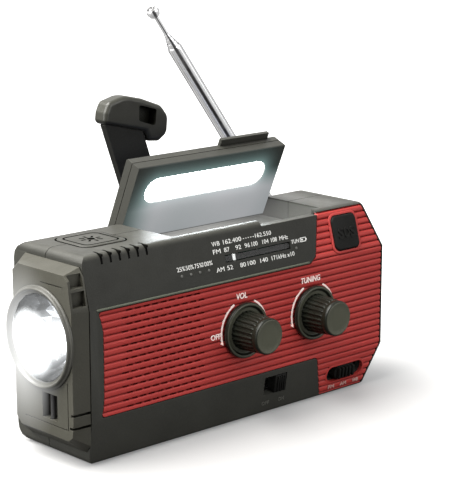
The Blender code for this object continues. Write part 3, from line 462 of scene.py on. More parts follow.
def dial_window():
    """Smoky see-through window."""
    mat = Material("dial_window")
    col, alpha = (0.030, 0.030, 0.029), 0.62
    uneven = mat.noise(scale=260, detail=3, rough=0.6)
    veil = mat.noise(scale=120, detail=3, rough=0.6)
    return mat.set(color=mat.mix(uneven, col, shade(col, 0.9)),
                   rough=uneven.fit(to=(0.04, 0.09)), spec=0.6,
                   alpha=veil.fit(to=(alpha * 0.85, alpha * 1.15)),
                   normal=mat.bump(uneven, strength=0.03))


def led_diffuser():
    """Opal lamp cover: a row of LEDs shows faintly behind the frosted plastic."""
    mat = Material("lamp_opal")
    led_pitch = 0.0068
    cell = (mat.split()[0] * (1 / led_pitch)).fraction()
    spot = abs(cell - 0.5).fit(of=(0.0, 0.5), to=(1.0, 0.0))
    frost = mat.noise(scale=700, detail=3, rough=0.6)
    return mat.set(color=mat.mix(frost, (0.93, 0.95, 0.96), (0.88, 0.91, 0.93)), rough=0.35,
                   emit=mat.mix(spot, (0.86, 0.95, 1.0), (0.97, 0.99, 1.0)),
                   glow=spot.fit(of=(0, 1), to=(14.0, 19.0)) + frost * 2.0,
                   normal=mat.bump(frost, strength=0.2))


def lit_face():
    """Lid plastic; on its inside, painted light: a teal glow close round the lamp and a pale glow
    where its light spills.
    """
    mat = Material("lid_face_plastic")
    to_lid = (TO_FRAME @ LID_SEAT @ LID_TURN).inverted()

    def lid_mm(row):
        dot = mat.add("ShaderNodeVectorMath", "Value", {0: mat.place, 1: row[:3]},
                      operation='DOT_PRODUCT')
        return dot * 1.0 + row[3]

    along, across = lid_mm(to_lid[0]), lid_mm(to_lid[1])     # hinge at across = 0
    x0, x1, y0, y1 = LID_LAMP
    off_x = mat.math('MAXIMUM', abs(along - (x0 + x1) / 2) - 27.2, 0.0)
    off_y = abs(across + -(y0 + y1) / 2)
    distance = (off_x * off_x + off_y * off_y).sqrt() - LID_LAMP_R
    halo = 2.718 ** (mat.math('MAXIMUM', distance, 0.0) * -0.36)
    spill = along.fit(of=(-33.0, -10.0)) * across.fit(of=(-25.0, -13.0))
    drift = mat.noise(scale=25, rough=0.4)
    spill = spill.fit(of=(0, 1), smooth=True) * drift.fit(to=(0.9, 1.1))
    # Painted light: emission on the forward-facing lid face, teal near the lamp and pale where its
    # light spills.
    light = mat.mix(spill * 0.9, (0.50, 0.80, 0.78), (0.86, 0.86, 0.90))
    amount = halo * 0.34 + spill * 0.40
    cloud = mat.noise(scale=38, detail=4, rough=0.6)
    base = mat.mix(cloud, (0.014, 0.015, 0.013), (0.024, 0.025, 0.021))
    scratch = mat.noise(scale=420, detail=3, rough=0.7)
    edge = edge_mask(mat) * scratch.fit(of=(0.35, 0.62), to=(0.15, 1.0))
    base = mat.mix(edge * 0.4, base, (0.08, 0.08, 0.07))
    facing = (mat.split(mat.geometry())[1] * -1.0).fit(of=(0.55, 0.85))
    height = mat.noise(scale=1500, rough=0.6) + mat.voronoi(scale=1050) * 0.6
    uneven = mat.noise(scale=160, detail=4, rough=0.65)
    return mat.set(color=mat.mix(facing, CASE_COLOUR, base), rough=uneven.fit(to=(0.42, 0.56)),
                   spec=0.38, emit=light, glow=amount * facing,
                   normal=mat.bump(height, strength=0.3))


def solar():
    """Dark blue cells under clear resin: fine silver fingers and two busbars each."""
    mat = Material("solar_cell")
    cell_pitch, finger_pitch = 0.0125, 0.0013
    x, y, z = mat.split()
    up_lid = y * -cos(radians(LID_OPEN)) + z * sin(radians(LID_OPEN))
    cell = (x * (1 / cell_pitch)).fraction()
    in_cell = abs(cell - 0.5) < 0.485
    finger = (up_lid * (1 / finger_pitch)).fraction() < 0.14
    busbar = abs(abs(cell - 0.5) - 0.22) < 0.028
    lines = mat.math('MAXIMUM', finger, busbar)
    cloud = mat.noise(scale=70, detail=4, rough=0.6)
    base = mat.mix(cloud, (0.006, 0.010, 0.035), (0.014, 0.026, 0.080))
    base = mat.mix(lines, base, (0.30, 0.32, 0.36))
    base = mat.mix(in_cell, (0.010, 0.010, 0.012), base)
    uneven = mat.noise(scale=200, detail=4, rough=0.6)
    return mat.set(color=base, rough=0.28, coat=1.0, coat_rough=uneven.fit(to=(0.03, 0.10)),
                   spec=0.5, normal=mat.bump(mat.noise(scale=50), strength=0.02, distance=0.0003))


def board():
    """Circuit board: green mask with raised traces and pads."""
    mat = Material("solder_mask")
    trace = abs(mat.noise(scale=220, detail=1, rough=0.3) - 0.5) < 0.012
    pad = mat.voronoi(scale=320) < 0.16
    cloud = mat.noise(scale=60, detail=3)
    base = mat.mix(cloud, (0.008, 0.075, 0.030), (0.016, 0.125, 0.050))
    base = mat.mix(trace, base, (0.05, 0.20, 0.09))
    base = mat.mix(pad, base, (0.62, 0.58, 0.45))
    return mat.set(color=base, rough=0.35, spec=0.5,
                   normal=mat.bump(trace + pad, strength=0.3, distance=0.00008))


def sleeve():
    """Blue battery sleeve with a grey band at its low-x end."""
    mat = Material("battery_sleeve")
    band = mat.split()[0] < -0.050
    cloud = mat.noise(scale=80, detail=4, rough=0.6)
    blue = mat.mix(cloud, (0.02, 0.10, 0.33), (0.03, 0.14, 0.42))
    return mat.set(color=mat.mix(band, blue, (0.45, 0.45, 0.44)),
                   rough=cloud.fit(to=(0.22, 0.35)), coat=0.3,
                   normal=mat.bump(mat.noise(scale=300, detail=3, rough=0.6), strength=0.15))


# Painted shade: the grip fades to dark over this height range, in the frame's metres.
GRIP_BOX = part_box("crank_grip")
GRIP_SHADE_HEIGHTS = (GRIP_BOX[0].z + 0.001, GRIP_BOX[0].z + 0.62 * (GRIP_BOX[1].z - GRIP_BOX[0].z))

CASE_COLOUR = (0.036, 0.036, 0.030)
# crevice gives the case plastics painted shade in their hollows.
CASE_LOOK = dict(col=CASE_COLOUR, rough=0.48, spec=0.36, wear=0.5, dust=0.08, hollow_shade_reach=0.0016)
# The shells' plastic: painted shade on the leaning facets and painted light of the lid lamp in the
# recess.
SHELL = plastic("shell_plastic", leaning_shade=0.40, spill=recess_spill, **CASE_LOOK)
BLACK = plastic("case_plastic", **CASE_LOOK)
# The head's hollows get painted shade; the torch's bloom is painted round the lens.
HEAD = plastic("head_plastic", (0.046, 0.0445, 0.034), rough=0.50, spec=0.38, wear=0.6,
               dust=0.05, hollow_shade_reach=0.0026, spill=torch_spill)
RING = plastic("ring_plastic", (0.052, 0.051, 0.043), rough=0.40, wear=0.6, spill=torch_spill)
# Painted shade: the crank arm gets a darker copy of the black plastic, for the shade it lies in.
ARM_SHADED = plastic("arm_plastic_shaded", (0.009, 0.009, 0.0075), rough=0.42, spec=0.22, wear=0.6)
# Painted shade on the grip: darkened in its pocket and hollows, on its undersides and towards its
# bottom.
GRIP = plastic("grip_plastic", (0.032, 0.032, 0.025), rough=0.36, bump=0.20, wear=0.5,
               hollow_shade_reach=0.0120, underside_shade=0.85, low=GRIP_SHADE_HEIGHTS)
# The knobs' flutes and hollows get painted shade.
KNOB = plastic("knob_plastic", (0.0085, 0.0095, 0.0060), rough=0.34, bump=0.22, spec=0.27,
               wear=0.9, hollow_shade_reach=0.0012, face=(0.082, 0.084, 0.060))
# Lighter plastic for the crease line: a painted highlight.
CREASE_HIGHLIGHT = plastic("edge_highlight_plastic", (0.085, 0.095, 0.068), rough=0.40, spec=0.5)
RUBBER = plastic("black_rubber", (0.008, 0.008, 0.007), rough=0.62, grain=1100, bump=0.4,
                 spec=0.16, wear=0.35)
INNER = plastic("inner_plastic", (0.030, 0.030, 0.030), rough=0.6)
WHITE = plastic("white_plastic", (0.80, 0.80, 0.76), rough=0.45, var=0.04, bump=0.15)
NYLON = plastic("gear_nylon", (0.74, 0.72, 0.62), rough=0.42, var=0.06, bump=0.2)
PAPER = plastic("cone_paper", (0.045, 0.043, 0.040), rough=0.92, grain=600, bump=0.8, spec=0.15)
FERRITE = plastic("ferrite", (0.06, 0.06, 0.062), rough=0.65, grain=900, bump=0.5)
STEEL = metal("steel", (0.58, 0.58, 0.57), rough=0.30)
CAN = metal("dynamo_can", (0.44, 0.41, 0.35), rough=0.38)
RED = red_plastic()
# Painted light: the white and pink inks glow a little.
INK = print_paint("white_ink", (0.80, 0.80, 0.77), lift=0.25)
PINK = print_paint("panel_ink", (0.84, 0.68, 0.64), lift=0.40)
GREY_INK = print_paint("grey_ink", (0.16, 0.16, 0.14))
CHROME = chrome()
MIRROR = mirror()
LENS = lit_lens()
WINDOW = dial_window()
OPAL = led_diffuser()
LID_FACE = lit_face()
# Painted light: the dial pointer glows though it is no lamp; the LED chip is a lamp.
POINTER_PAINTED_GLOW = lit("pointer_white", (0.86, 0.88, 0.86), strength=7.0)
LED = lit("led_chip", (0.92, 0.96, 1.0), strength=2.5)
SOLAR = solar()
BOARD = board()
SLEEVE = sleeve()


# ------------------------------------------------------------------ modelling helpers (mm)
def new_object(name, data, collection=PIECES):
    obj = bpy.data.objects.new(name, data)
    collection.objects.link(obj)
    return obj


def from_bmesh(edit, name, transform=Matrix.Identity(4), collection=PIECES):
    mesh = bpy.data.meshes.new(name)
    edit.to_mesh(mesh)
    edit.free()
    mesh.transform(transform)
    return new_object(name, mesh, collection)


@contextmanager
def editing(mesh):
    """Open a mesh as a BMesh and write it back afterwards."""
    edit = bmesh.new()
    edit.from_mesh(mesh)
    yield edit
    edit.to_mesh(mesh)
    edit.free()


def add_modifier(obj, name, kind, **settings):
    modifier = obj.modifiers.new(name, kind)
    for key, value in settings.items():
        setattr(modifier, key, value)


def evaluated_mesh(obj):
    bpy.context.view_layer.update()
    depsgraph = bpy.context.evaluated_depsgraph_get()
    return bpy.data.meshes.new_from_object(obj.evaluated_get(depsgraph))


def apply_modifiers(obj):
    mesh = evaluated_mesh(obj)
    obj.modifiers.clear()
    obj.data = mesh
    return obj


def at(axis, pair, along):
    """Point from its place along an axis and its pair: (y,z) for x, (x,z) for y, (x,y) for z."""
    return {'x': (along, pair[0], pair[1]), 'y': (pair[0], along, pair[1]),
            'z': (pair[0], pair[1], along)}[axis]


# Turns a shape made along z to lie along the named axis.
ALONG = {'x': Matrix(((0, 0, 1, 0), (1, 0, 0, 0), (0, 1, 0, 0), (0, 0, 0, 1))),
         'y': Matrix(((0, 1, 0, 0), (0, 0, 1, 0), (1, 0, 0, 0), (0, 0, 0, 1))),
         'z': Matrix.Identity(4)}


def round_edges(obj, width, seg=2, angle=40):
    add_modifier(obj, "Bevel", 'BEVEL', width=width, segments=seg, limit_method='ANGLE',
                 angle_limit=radians(angle))
    return apply_modifiers(obj)


def box(x0, x1, y0, y1, z0, z1, bevel=0.0, seg=2):
    edit = bmesh.new()
    bmesh.ops.create_cube(edit, size=1)
    place = Matrix.Translation(((x0 + x1) / 2, (y0 + y1) / 2, (z0 + z1) / 2))
    obj = from_bmesh(edit, "box", place @ Matrix.Diagonal((x1 - x0, y1 - y0, z1 - z0, 1)))
    return round_edges(obj, bevel, seg) if bevel else obj


def cylinder(axis, centre, radius, start, end, seg=48):
    edit = bmesh.new()
    bmesh.ops.create_cone(edit, cap_ends=True, segments=seg, radius1=radius, radius2=radius,
                          depth=end - start)
    place = Matrix.Translation(at(axis, centre, (start + end) / 2))
    return from_bmesh(edit, "cyl", place @ ALONG[axis])


def round_poly(points, seg):
    """Outline with rounded corners; points are (u, v) or (u, v, corner radius)."""
    outline = []
    count = len(points)
    for i, point in enumerate(points):
        radius = point[2] if len(point) > 2 else 0
        if radius <= 0:
            outline.append((point[0], point[1]))
            continue
        before, corner, after = (Vector(p[:2]) for p in
                                 (points[i - 1], point, points[(i + 1) % count]))
        back, ahead = (before - corner).normalized(), (after - corner).normalized()
        angle = acos(max(-1, min(1, back.dot(ahead))))
        reach = radius / tan(angle / 2)
        centre = (back + ahead).normalized() * (radius / sin(angle / 2)) + corner
        first, last = corner + back * reach - centre, corner + ahead * reach - centre
        start, end = atan2(first.y, first.x), atan2(last.y, last.x)
        while end - start > pi:
            end -= 2 * pi
        while end - start < -pi:
            end += 2 * pi
        for k in range(seg + 1):
            turn = start + (end - start) * k / seg
            outline.append((centre.x + radius * cos(turn), centre.y + radius * sin(turn)))
    return outline


def round_rect(rect, radius, grow=0.0, seg=10):
    """Rounded rectangle from (u0, u1, v0, v1), grown by so much on every side."""
    u0, u1, v0, v1 = rect[0] - grow, rect[1] + grow, rect[2] - grow, rect[3] + grow
    return round_poly([(u0, v0, radius), (u1, v0, radius), (u1, v1, radius), (u0, v1, radius)],
                      seg)


def around(centre, half_w, half_h):
    return (centre[0] - half_w, centre[0] + half_w, centre[1] - half_h, centre[1] + half_h)


def prism(axis, points, start, end):
    edit = bmesh.new()
    low = [edit.verts.new(at(axis, point, start)) for point in points]
    high = [edit.verts.new(at(axis, point, end)) for point in points]
    edit.faces.new(low)
    edit.faces.new(high[::-1])
    count = len(points)
    for i in range(count):
        k = (i + 1) % count
        edit.faces.new((low[i], high[i], high[k], low[k]))
    bmesh.ops.recalc_face_normals(edit, faces=edit.faces)
    return from_bmesh(edit, "prism")


def turned(axis, centre, profile, seg, wave=None):
    """Turned shape from a (radius, along) profile with its ends on the axis, or closed on
    itself. wave(angle, station) is added to the radius, for flutes."""
    edit = bmesh.new()
    rings = []
    for i, (radius, along) in enumerate(profile):
        if radius <= 0:
            rings.append([edit.verts.new((0, 0, along))])
            continue
        ring = []
        for k in range(seg):
            angle = 2 * pi * k / seg
            reach = radius + (wave(angle, i) if wave else 0.0)
            ring.append(edit.verts.new((reach * cos(angle), reach * sin(angle), along)))
        rings.append(ring)
    pairs = list(zip(rings, rings[1:]))
    if profile[0][0] > 0:
        pairs.append((rings[-1], rings[0]))
    for first, second in pairs:
        for k in range(seg):
            j = (k + 1) % seg
            corners = (first[k % len(first)], first[j % len(first)],
                       second[j % len(second)], second[k % len(second)])
            corners = list(dict.fromkeys(corners))
            if len(corners) > 2:
                edit.faces.new(corners)
    bmesh.ops.recalc_face_normals(edit, faces=edit.faces)
    return from_bmesh(edit, "turned", Matrix.Translation(at(axis, centre, 0)) @ ALONG[axis])


def boolean(obj, others, operation='DIFFERENCE', solver='EXACT'):
    """Combine obj with each of the others, which are used up, and clean the result."""
    for other in (others if isinstance(others, list) else [others]):
        add_modifier(obj, "Bool", 'BOOLEAN', operation=operation, solver=solver, object=other)
        apply_modifiers(obj)
        bpy.data.objects.remove(other)
    with editing(obj.data) as edit:
        bmesh.ops.remove_doubles(edit, verts=edit.verts, dist=0.002)
        bmesh.ops.dissolve_degenerate(edit, edges=edit.edges, dist=0.001)
        bmesh.ops.recalc_face_normals(edit, faces=edit.faces)
    return obj


def rim(axis, outer, inner, span, cut, bevel=0.0, seg=2):
    """Frame between two outlines over the axis span; the inner one is cut over `cut`."""
    obj = prism(axis, outer, *span)
    if bevel:
        round_edges(obj, bevel, seg, angle=60)
    return boolean(obj, prism(axis, inner, *cut))


def joined(objects):
    edit = bmesh.new()
    for obj in objects:
        edit.from_mesh(obj.data)
        bpy.data.objects.remove(obj)
    return from_bmesh(edit, "joined")


def move(obj, matrix):
    obj.data.transform(matrix)
    return obj


def finish(obj, name, body, slot, material, replaces=None, sharp=35, bevel=0.0, seg=2,
           weighted=False, skip=None):
    """Named piece in the frame's metres, shaded smooth with sharp edges kept, riding on its
    body. bevel (mm) rounds edges over 35 degrees, except where skip(middle of edge) holds."""
    obj.name = name
    obj.data.transform(TO_FRAME)
    obj.data.materials.clear()
    obj.data.materials.append(material)
    if bevel:
        with editing(obj.data) as edit:
            weight = edit.edges.layers.float.new("bevel_weight_edge")
            for edge in edit.edges:
                if len(edge.link_faces) == 2 and edge.calc_face_angle(0.0) > radians(35):
                    middle = (edge.verts[0].co + edge.verts[1].co) / 2
                    if not (skip and skip(TO_CASE @ middle)):
                        edge[weight] = 1.0
        add_modifier(obj, "Bevel", 'BEVEL', width=bevel / 1000, segments=seg,
                     limit_method='WEIGHT', use_clamp_overlap=True, miter_outer='MITER_ARC')
        apply_modifiers(obj)
    obj.data.shade_smooth()
    obj.data.set_sharp_from_angle(angle=radians(sharp))
    if bevel or weighted:
        add_modifier(obj, "Edges", 'WEIGHTED_NORMAL', keep_sharp=True, weight=100)
    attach(obj, body)
    if replaces:
        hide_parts(replaces)


def clone(node):
    """Editable millimetre copy of a CAD node, with its flat faces made whole again."""
    obj = new_object(node + "_copy", NODES[node].data.copy())
    obj.data.transform(TO_CASE)
    obj.data.materials.clear()
    with editing(obj.data) as edit:
        bmesh.ops.remove_doubles(edit, verts=edit.verts, dist=0.002)
        bmesh.ops.dissolve_limit(edit, angle_limit=radians(0.6), verts=edit.verts,
                                 edges=edit.edges, use_dissolve_boundaries=False)
        bmesh.ops.recalc_face_normals(edit, faces=edit.faces)
    return obj


def remould(node, name, body, material, bevel=0.3, **options):
    """Copy of a CAD node with rounded edges, taking its place."""
    finish(clone(node), name, body, "case_black", material, node, bevel=bevel, sharp=32,
           **options)


def dress(node, material, bevel, seg):
    """Material and, by modifiers only, rounded edges for a CAD node that stays."""
    obj = NODES[node]
    obj.data.materials.clear()
    obj.data.materials.append(material)
    obj.data.shade_smooth()
    add_modifier(obj, "Weld", 'WELD', merge_threshold=0.000002)
    if bevel:
        add_modifier(obj, "Planar", 'DECIMATE', decimate_type='DISSOLVE',
                     angle_limit=radians(0.6))
        add_modifier(obj, "Bevel", 'BEVEL', width=bevel / 1000, segments=seg,
                     limit_method='ANGLE', angle_limit=radians(35))
    add_modifier(obj, "Edges", 'WEIGHTED_NORMAL', keep_sharp=True, weight=80)


# ------------------------------------------------------------------ red ribbed front panel
PITCH = (CREASE_HI - CREASE_LO) / 16    # rib pitch
RIB_DEPTH = 0.72
RIB_STEPS = 10                          # stations per rib
ARC_TOP = 20.6                          # ribs run between these arc lengths
ARC_BOT = CREASE_LO - CREASE_HI - 18.4

# Panel outline seen from the front: (x, z) or (x, z, corner radius).
PANEL_OUTLINE = [
    (4.0, 59.3, 1.0), (5.4, 55.6), (6.3, 51.5), (6.4, 40), (6.3, 26), (5.9, 22),
    (5.0, 18.5, 1.0), (120.6, 18.5, 2.0), (124.6, 0.9),
    (CASE_L - CHAMFER_BOT - 0.6, 0.9), (CASE_L - 1, CREASE_LO),
    (CASE_L - 1, CREASE_HI), (CASE_L - CHAMFER_TOP - 0.6, 78.8),
    (124.8, 78.8), (119.6, 62.0), (116.0, 59.3, 2.0)]


def facet_point(arc):
    """Point (y, z) and inward direction at an arc length up from the upper crease."""
    if arc >= 0:
        return (arc * sin(ANGLE_HI), CREASE_HI + arc * cos(ANGLE_HI)), \
            (cos(ANGLE_HI), -sin(ANGLE_HI))
    if arc >= CREASE_LO - CREASE_HI:
        return (0.0, CREASE_HI + arc), (1.0, 0.0)
    down = (CREASE_LO - CREASE_HI) - arc
    return (down * sin(ANGLE_LO), CREASE_LO - down * cos(ANGLE_LO)), \
        (cos(ANGLE_LO), sin(ANGLE_LO))


def rib_surface():
    """Section (y, z) of the ribbed face, from the bottom up."""
    points = []
    first = int(ARC_BOT / PITCH * RIB_STEPS) - 1
    last = int(ARC_TOP / PITCH * RIB_STEPS) + 1
    for k in range(first, last + 1):
        arc = k * PITCH / RIB_STEPS
        (y, z), (in_y, in_z) = facet_point(arc)
        phase = (arc / PITCH) % 1.0
        depth = RIB_DEPTH * abs(2 * phase - 1) ** 4.0 + 0.03
        points.append((y + in_y * depth, z + in_z * depth))
    return points


def grille_slots():
    """Rows of short slots along the grooves, staggered, kept clear of the volume knob."""
    length, pitch, half_height = 3.0, 4.3, 0.36
    slots = []
    for row in range(1, 16):
        z = CREASE_HI - row * PITCH
        x = 15.4 + (2.1 if row % 2 else 0.0)
        x_end = 58.0 - 0.10 * abs(row - 8)
        while x + length < x_end:
            if hypot(x + length / 2 - VOLUME[0], z - VOLUME[1]) > 15:
                slots.append(box(x, x + length, -3, 8, z - half_height, z + half_height))
            x += pitch
    return joined(slots)


def red_panel():
    outer = [point for point in rib_surface() if -4 < point[1] < 84]
    beyond = 5                          # the section runs this far past the top and underside
    low_y = LEAN_LO * (1 + beyond / CREASE_LO) + PANEL_T
    high_y = LEAN_HI * (1 + beyond / (CASE_H - CREASE_HI)) + PANEL_T
    inner = [(high_y, CASE_H + beyond), (PANEL_T, CREASE_HI), (PANEL_T, CREASE_LO),
             (low_y, -beyond)]
    panel = prism('x', outer + inner, -2, 163)
    boolean(panel, prism('y', round_poly(PANEL_OUTLINE, 6), -10, 12), 'INTERSECT')
    alarm_hole = move(prism('y', round_rect(ALARM, 2.85, grow=0.35, seg=8), -8, 8), UPPER)
    band_hole = move(prism('y', round_rect(around(BAND, *BAND_HOLE), 3.2, seg=8), -8, 8), LOWER)
    boolean(panel, joined([alarm_hole, band_hole, cylinder('y', VOLUME, 4.2, -5, 9),
                           cylinder('y', TUNING, 4.2, -5, 9)]))
    boolean(panel, grille_slots())
    finish(panel, "red_panel", "case", "panel_red", RED, "front_panel", sharp=40)


def panel_rims():
    """Raised rims round the alarm button and the band switch."""
    border = rim('y', round_rect(ALARM, 3.6, grow=1.35), round_rect(ALARM, 2.85, grow=0.35),
                 span=(-0.35, 1.4), cut=(-4, 4), bevel=0.3, seg=3)
    finish(move(border, UPPER), "alarm_button_border", "case", "panel_red", RED, sharp=40)
    border = rim('y', round_rect(around(BAND, 12.0, 4.2), 4.1),
                 round_rect(around(BAND, *BAND_HOLE), 3.2),
                 span=(0.02, 1.4), cut=(-4, 4), bevel=0.3, seg=2)
    finish(move(border, LOWER), "band_switch_rim", "case", "panel_red", RED, sharp=40)


# ------------------------------------------------------------------ printing
# Rows of (base line z, cap height, ((text, x0, x1), ...)) in the facet's frame.
DIAL_ROWS = (
    (14.2, 1.75, (("WB", 64.3, 68.5), ("162.400", 70.4, 80.2))),
    (14.2, 1.7, (("162.550", 87.9, 96.8),)),
    (11.1, 1.75, (("FM", 64.3, 68.3), ("87", 70.2, 73.1), ("92", 76.4, 79.4),
                  ("96", 81.4, 84.2), ("100", 85.2, 88.5), ("104", 91.2, 94.6),
                  ("108", 96.1, 99.3), ("MHz", 100.8, 105.6))),
    (3.9, 1.75, (("AM", 64.4, 68.6), ("52", 70.2, 73.2), ("80", 77.2, 80.2),
                 ("100", 81.3, 85.6), ("140", 88.3, 92.5), ("171kHz x10", 94.7, 107.6))),
    (8.7, 1.6, (("TUN", 107.0, 111.4),)),
    (7.3, 1.75, (("25%", 44.6, 48.7), ("50%", 49.1, 53.2), ("75%", 53.6, 57.7),
                 ("100%", 57.9, 63.0))))
KNOB_ROWS = ((51.7, 2.4, (("VOL", 73.9, 79.9),)), (37.4, 2.2, (("OFF", 60.3, 65.4),)),
             (51.8, 2.4, (("TUNING", 110.4, 121.6),)))
BAND_ROWS = ((-15.3, 1.5, (("FM", 129.4, 132.9), ("AM", 136.8, 140.3), ("WB", 144.2, 147.9))),)
SWITCH_ROWS = ((-13.9, 1.6, (("OFF", 89.9, 94.0), ("ON", 99.4, 102.6))),)
ALARM_ROWS = ((6.6, 4.4, (("S", 133.6, 136.5), ("O", 137.0, 140.1), ("S", 140.6, 143.5))),)
# Battery symbol on the dial: strokes x0, x1, z0, z1.
BATTERY_STROKES = (
    (112.1, 115.5, 10.15, 10.45), (112.1, 115.5, 8.65, 8.95), (112.1, 112.4, 8.65, 10.45),
    (115.2, 115.5, 8.65, 10.45), (115.5, 115.95, 9.2, 9.9), (112.8, 113.7, 9.2, 9.9))


def text_mesh(text, x0, x1, base, cap, bold):
    """Lettering as a flat mesh in local (x, z), stretched to fit x0 to x1."""
    curve = bpy.data.curves.new("txt", 'FONT')
    curve.body = text
    curve.resolution_u = 3
    curve.offset = bold
    obj = new_object("txt", curve)
    mesh = evaluated_mesh(obj)
    bpy.data.objects.remove(obj)
    xs = [vert.co.x for vert in mesh.vertices]
    ys = [vert.co.y for vert in mesh.vertices]
    left = min(xs)
    scale_x = (x1 - x0) / (max(xs) - left)
    scale_z = cap / (max(ys) - max(min(ys), 0))
    for vert in mesh.vertices:
        vert.co = (x0 + (vert.co.x - left) * scale_x, 0, base + vert.co.y * scale_z)
    return new_object("txt", mesh)


def lettering(rows, bold=0.0):
    return [text_mesh(text, x0, x1, base, cap, bold)
            for base, cap, texts in rows for text, x0, x1 in texts]


def flat_poly(points):
    edit = bmesh.new()
    edit.faces.new([edit.verts.new((x, 0, z)) for x, z in points])
    return from_bmesh(edit, "flat")


def flat_rect(x0, x1, z0, z1):
    return flat_poly([(x0, z0), (x1, z0), (x1, z1), (x0, z1)])


def flat_arc(centre, radius, width, start, end, steps=40):
    """Band of an arc between two angles in degrees."""
    edit = bmesh.new()
    edges = []
    for reach in (radius + width / 2, radius - width / 2):
        angles = [radians(start + (end - start) * k / steps) for k in range(steps + 1)]
        edges.append([edit.verts.new((centre[0] + reach * cos(a), 0, centre[1] + reach * sin(a)))
                      for a in angles])
    outer, inner = edges
    for k in range(steps):
        edit.faces.new((outer[k], outer[k + 1], inner[k + 1], inner[k]))
    return from_bmesh(edit, "arc")


def thicken(obj, depth):
    """Closed slab from a flat print: its faces are at local y = -depth and 0."""
    with editing(obj.data) as edit:
        bmesh.ops.remove_doubles(edit, verts=edit.verts, dist=0.0005)
        bmesh.ops.recalc_face_normals(edit, faces=edit.faces)
        for face in edit.faces:
            if face.normal.y > 0:
                face.normal_flip()
        result = bmesh.ops.extrude_face_region(edit, geom=list(edit.faces), use_keep_orig=True)
        for item in result["geom"]:
            if isinstance(item, bmesh.types.BMVert):
                item.co.y -= depth
        bmesh.ops.recalc_face_normals(edit, faces=edit.faces)
    return obj


def slabs(prints, depth):
    return joined([thicken(obj, depth) for obj in prints])


def dial_print():
    prints = lettering(DIAL_ROWS)
    prints += [flat_rect(81.2 + 1.35 * k, 81.75 + 1.35 * k, 14.75, 15.05) for k in range(5)]
    prints += [flat_rect(*stroke) for stroke in BATTERY_STROKES]
    finish(move(slabs(prints, 0.05), UPPER), "dial_print", "case", "white_plastic", INK)


def knob_print():
    """Names, arcs and pointed start marks round both knobs."""
    prints = lettering(KNOB_ROWS, bold=0.015)
    for knob in (VOLUME, TUNING):
        for start, end in ((116, 199), (14, 62)):
            prints.append(flat_arc(knob, 12.35, 0.75, start, end))
    for x, z in (VOLUME, TUNING):
        prints.append(flat_poly([(x - 13.0, z - 3.5), (x - 11.3, z - 4.5), (x - 11.7, z - 2.8)]))
    sunk = Matrix.Translation((0, 0.24, 0))
    finish(move(slabs(prints, 0.30), sunk), "knob_print", "case", "white_plastic", PINK)


def switch_prints():
    # Painted light: the worn band ink glows a little as well.
    worn = print_paint("panel_ink_worn", (0.52, 0.30, 0.27), lift=0.22)
    finish(move(slabs(lettering(BAND_ROWS), 0.35), LOWER), "band_print", "case",
           "white_plastic", worn)
    finish(move(slabs(lettering(SWITCH_ROWS), 0.16), LOWER), "lamp_switch_print", "case",
           "case_black", GREY_INK)


def indicator_lamps():
    """Four small lamps for the battery and one for tuning."""
    profile = [(0, -0.30), (0.32, -0.26), (0.58, -0.12), (0.66, 0.25), (0, 0.25)]
    places = ((46.4, 5.4), (51.2, 5.4), (55.9, 5.4), (60.6, 5.4), (109.3, 6.7))
    lamps = joined([turned('y', place, profile, 20) for place in places])
    finish(move(lamps, UPPER), "indicator_lamps", "case", "inner_black",
           plastic("led_window", (0.10, 0.10, 0.09), rough=0.3, bump=0.1))


def crease_trim():
    """Thin moulded line along the upper crease, lighter in colour as a painted highlight."""
    section = [(-0.28, CREASE_HI - 0.75), (-0.28, CREASE_HI - 0.1), (0.35, CREASE_HI + 0.35),
               (0.8, CREASE_HI), (0.8, CREASE_HI - 0.9)]
    finish(prism('x', section, 3.2, 115.2), "crease_trim", "case", "case_black", CREASE_HIGHLIGHT,
           sharp=60, bevel=0.2)


# ------------------------------------------------------------------ knobs, buttons, sliders
FLUTES, FLUTE_DEPTH = 24, 0.62
# Knob stations from the back: (radius, y, share of the flute depth).
KNOB_STATIONS = (
    (0, 6.5, 0), (3.0, 6.5, 0), (3.0, -0.4, 0),
    # skirt
    (11.0, -0.4, 0), (11.3, -0.55, 0), (11.4, -0.9, 0), (11.4, -1.6, 0), (11.3, -2.0, 0),
    (11.0, -2.25, 0), (10.7, -2.32, 0), (10.3, -2.28, 0), (10.0, -2.1, 0), (9.75, -1.7, 0),
    (9.5, -1.36, 0), (9.1, -1.26, 0), (8.75, -1.26, 0),
    # fluted body
    (8.05, -1.30, 0.3), (7.90, -1.8, 0.8), (7.84, -2.8, 1), (7.72, -4.2, 1), (7.60, -6.0, 1),
    (7.48, -7.8, 1), (7.36, -9.6, 1), (7.28, -10.9, 1), (7.20, -11.5, 0.8), (7.14, -11.7, 0),
    # cap
    (7.14, -11.82, 0), (7.26, -11.96, 0), (7.36, -12.2, 0), (7.39, -13.1, 0), (7.36, -13.8, 0),
    (7.22, -14.3, 0), (6.94, -14.62, 0), (6.6, -14.78, 0), (6.3, -14.75, 0), (6.15, -14.68, 0),
    (4.0, -14.65, 0), (0, -14.65, 0))


def knob(name, node, body, centre):
    def flute(angle, station):
        ridge = max(0.0, cos(FLUTES * angle)) ** 0.7 - 0.66
        return KNOB_STATIONS[station][2] * FLUTE_DEPTH * ridge
    profile = [(radius, y) for radius, y, share in KNOB_STATIONS]
    finish(turned('y', centre, profile, FLUTES * 10, flute), name, body, "knob_black", KNOB,
           node, sharp=50)


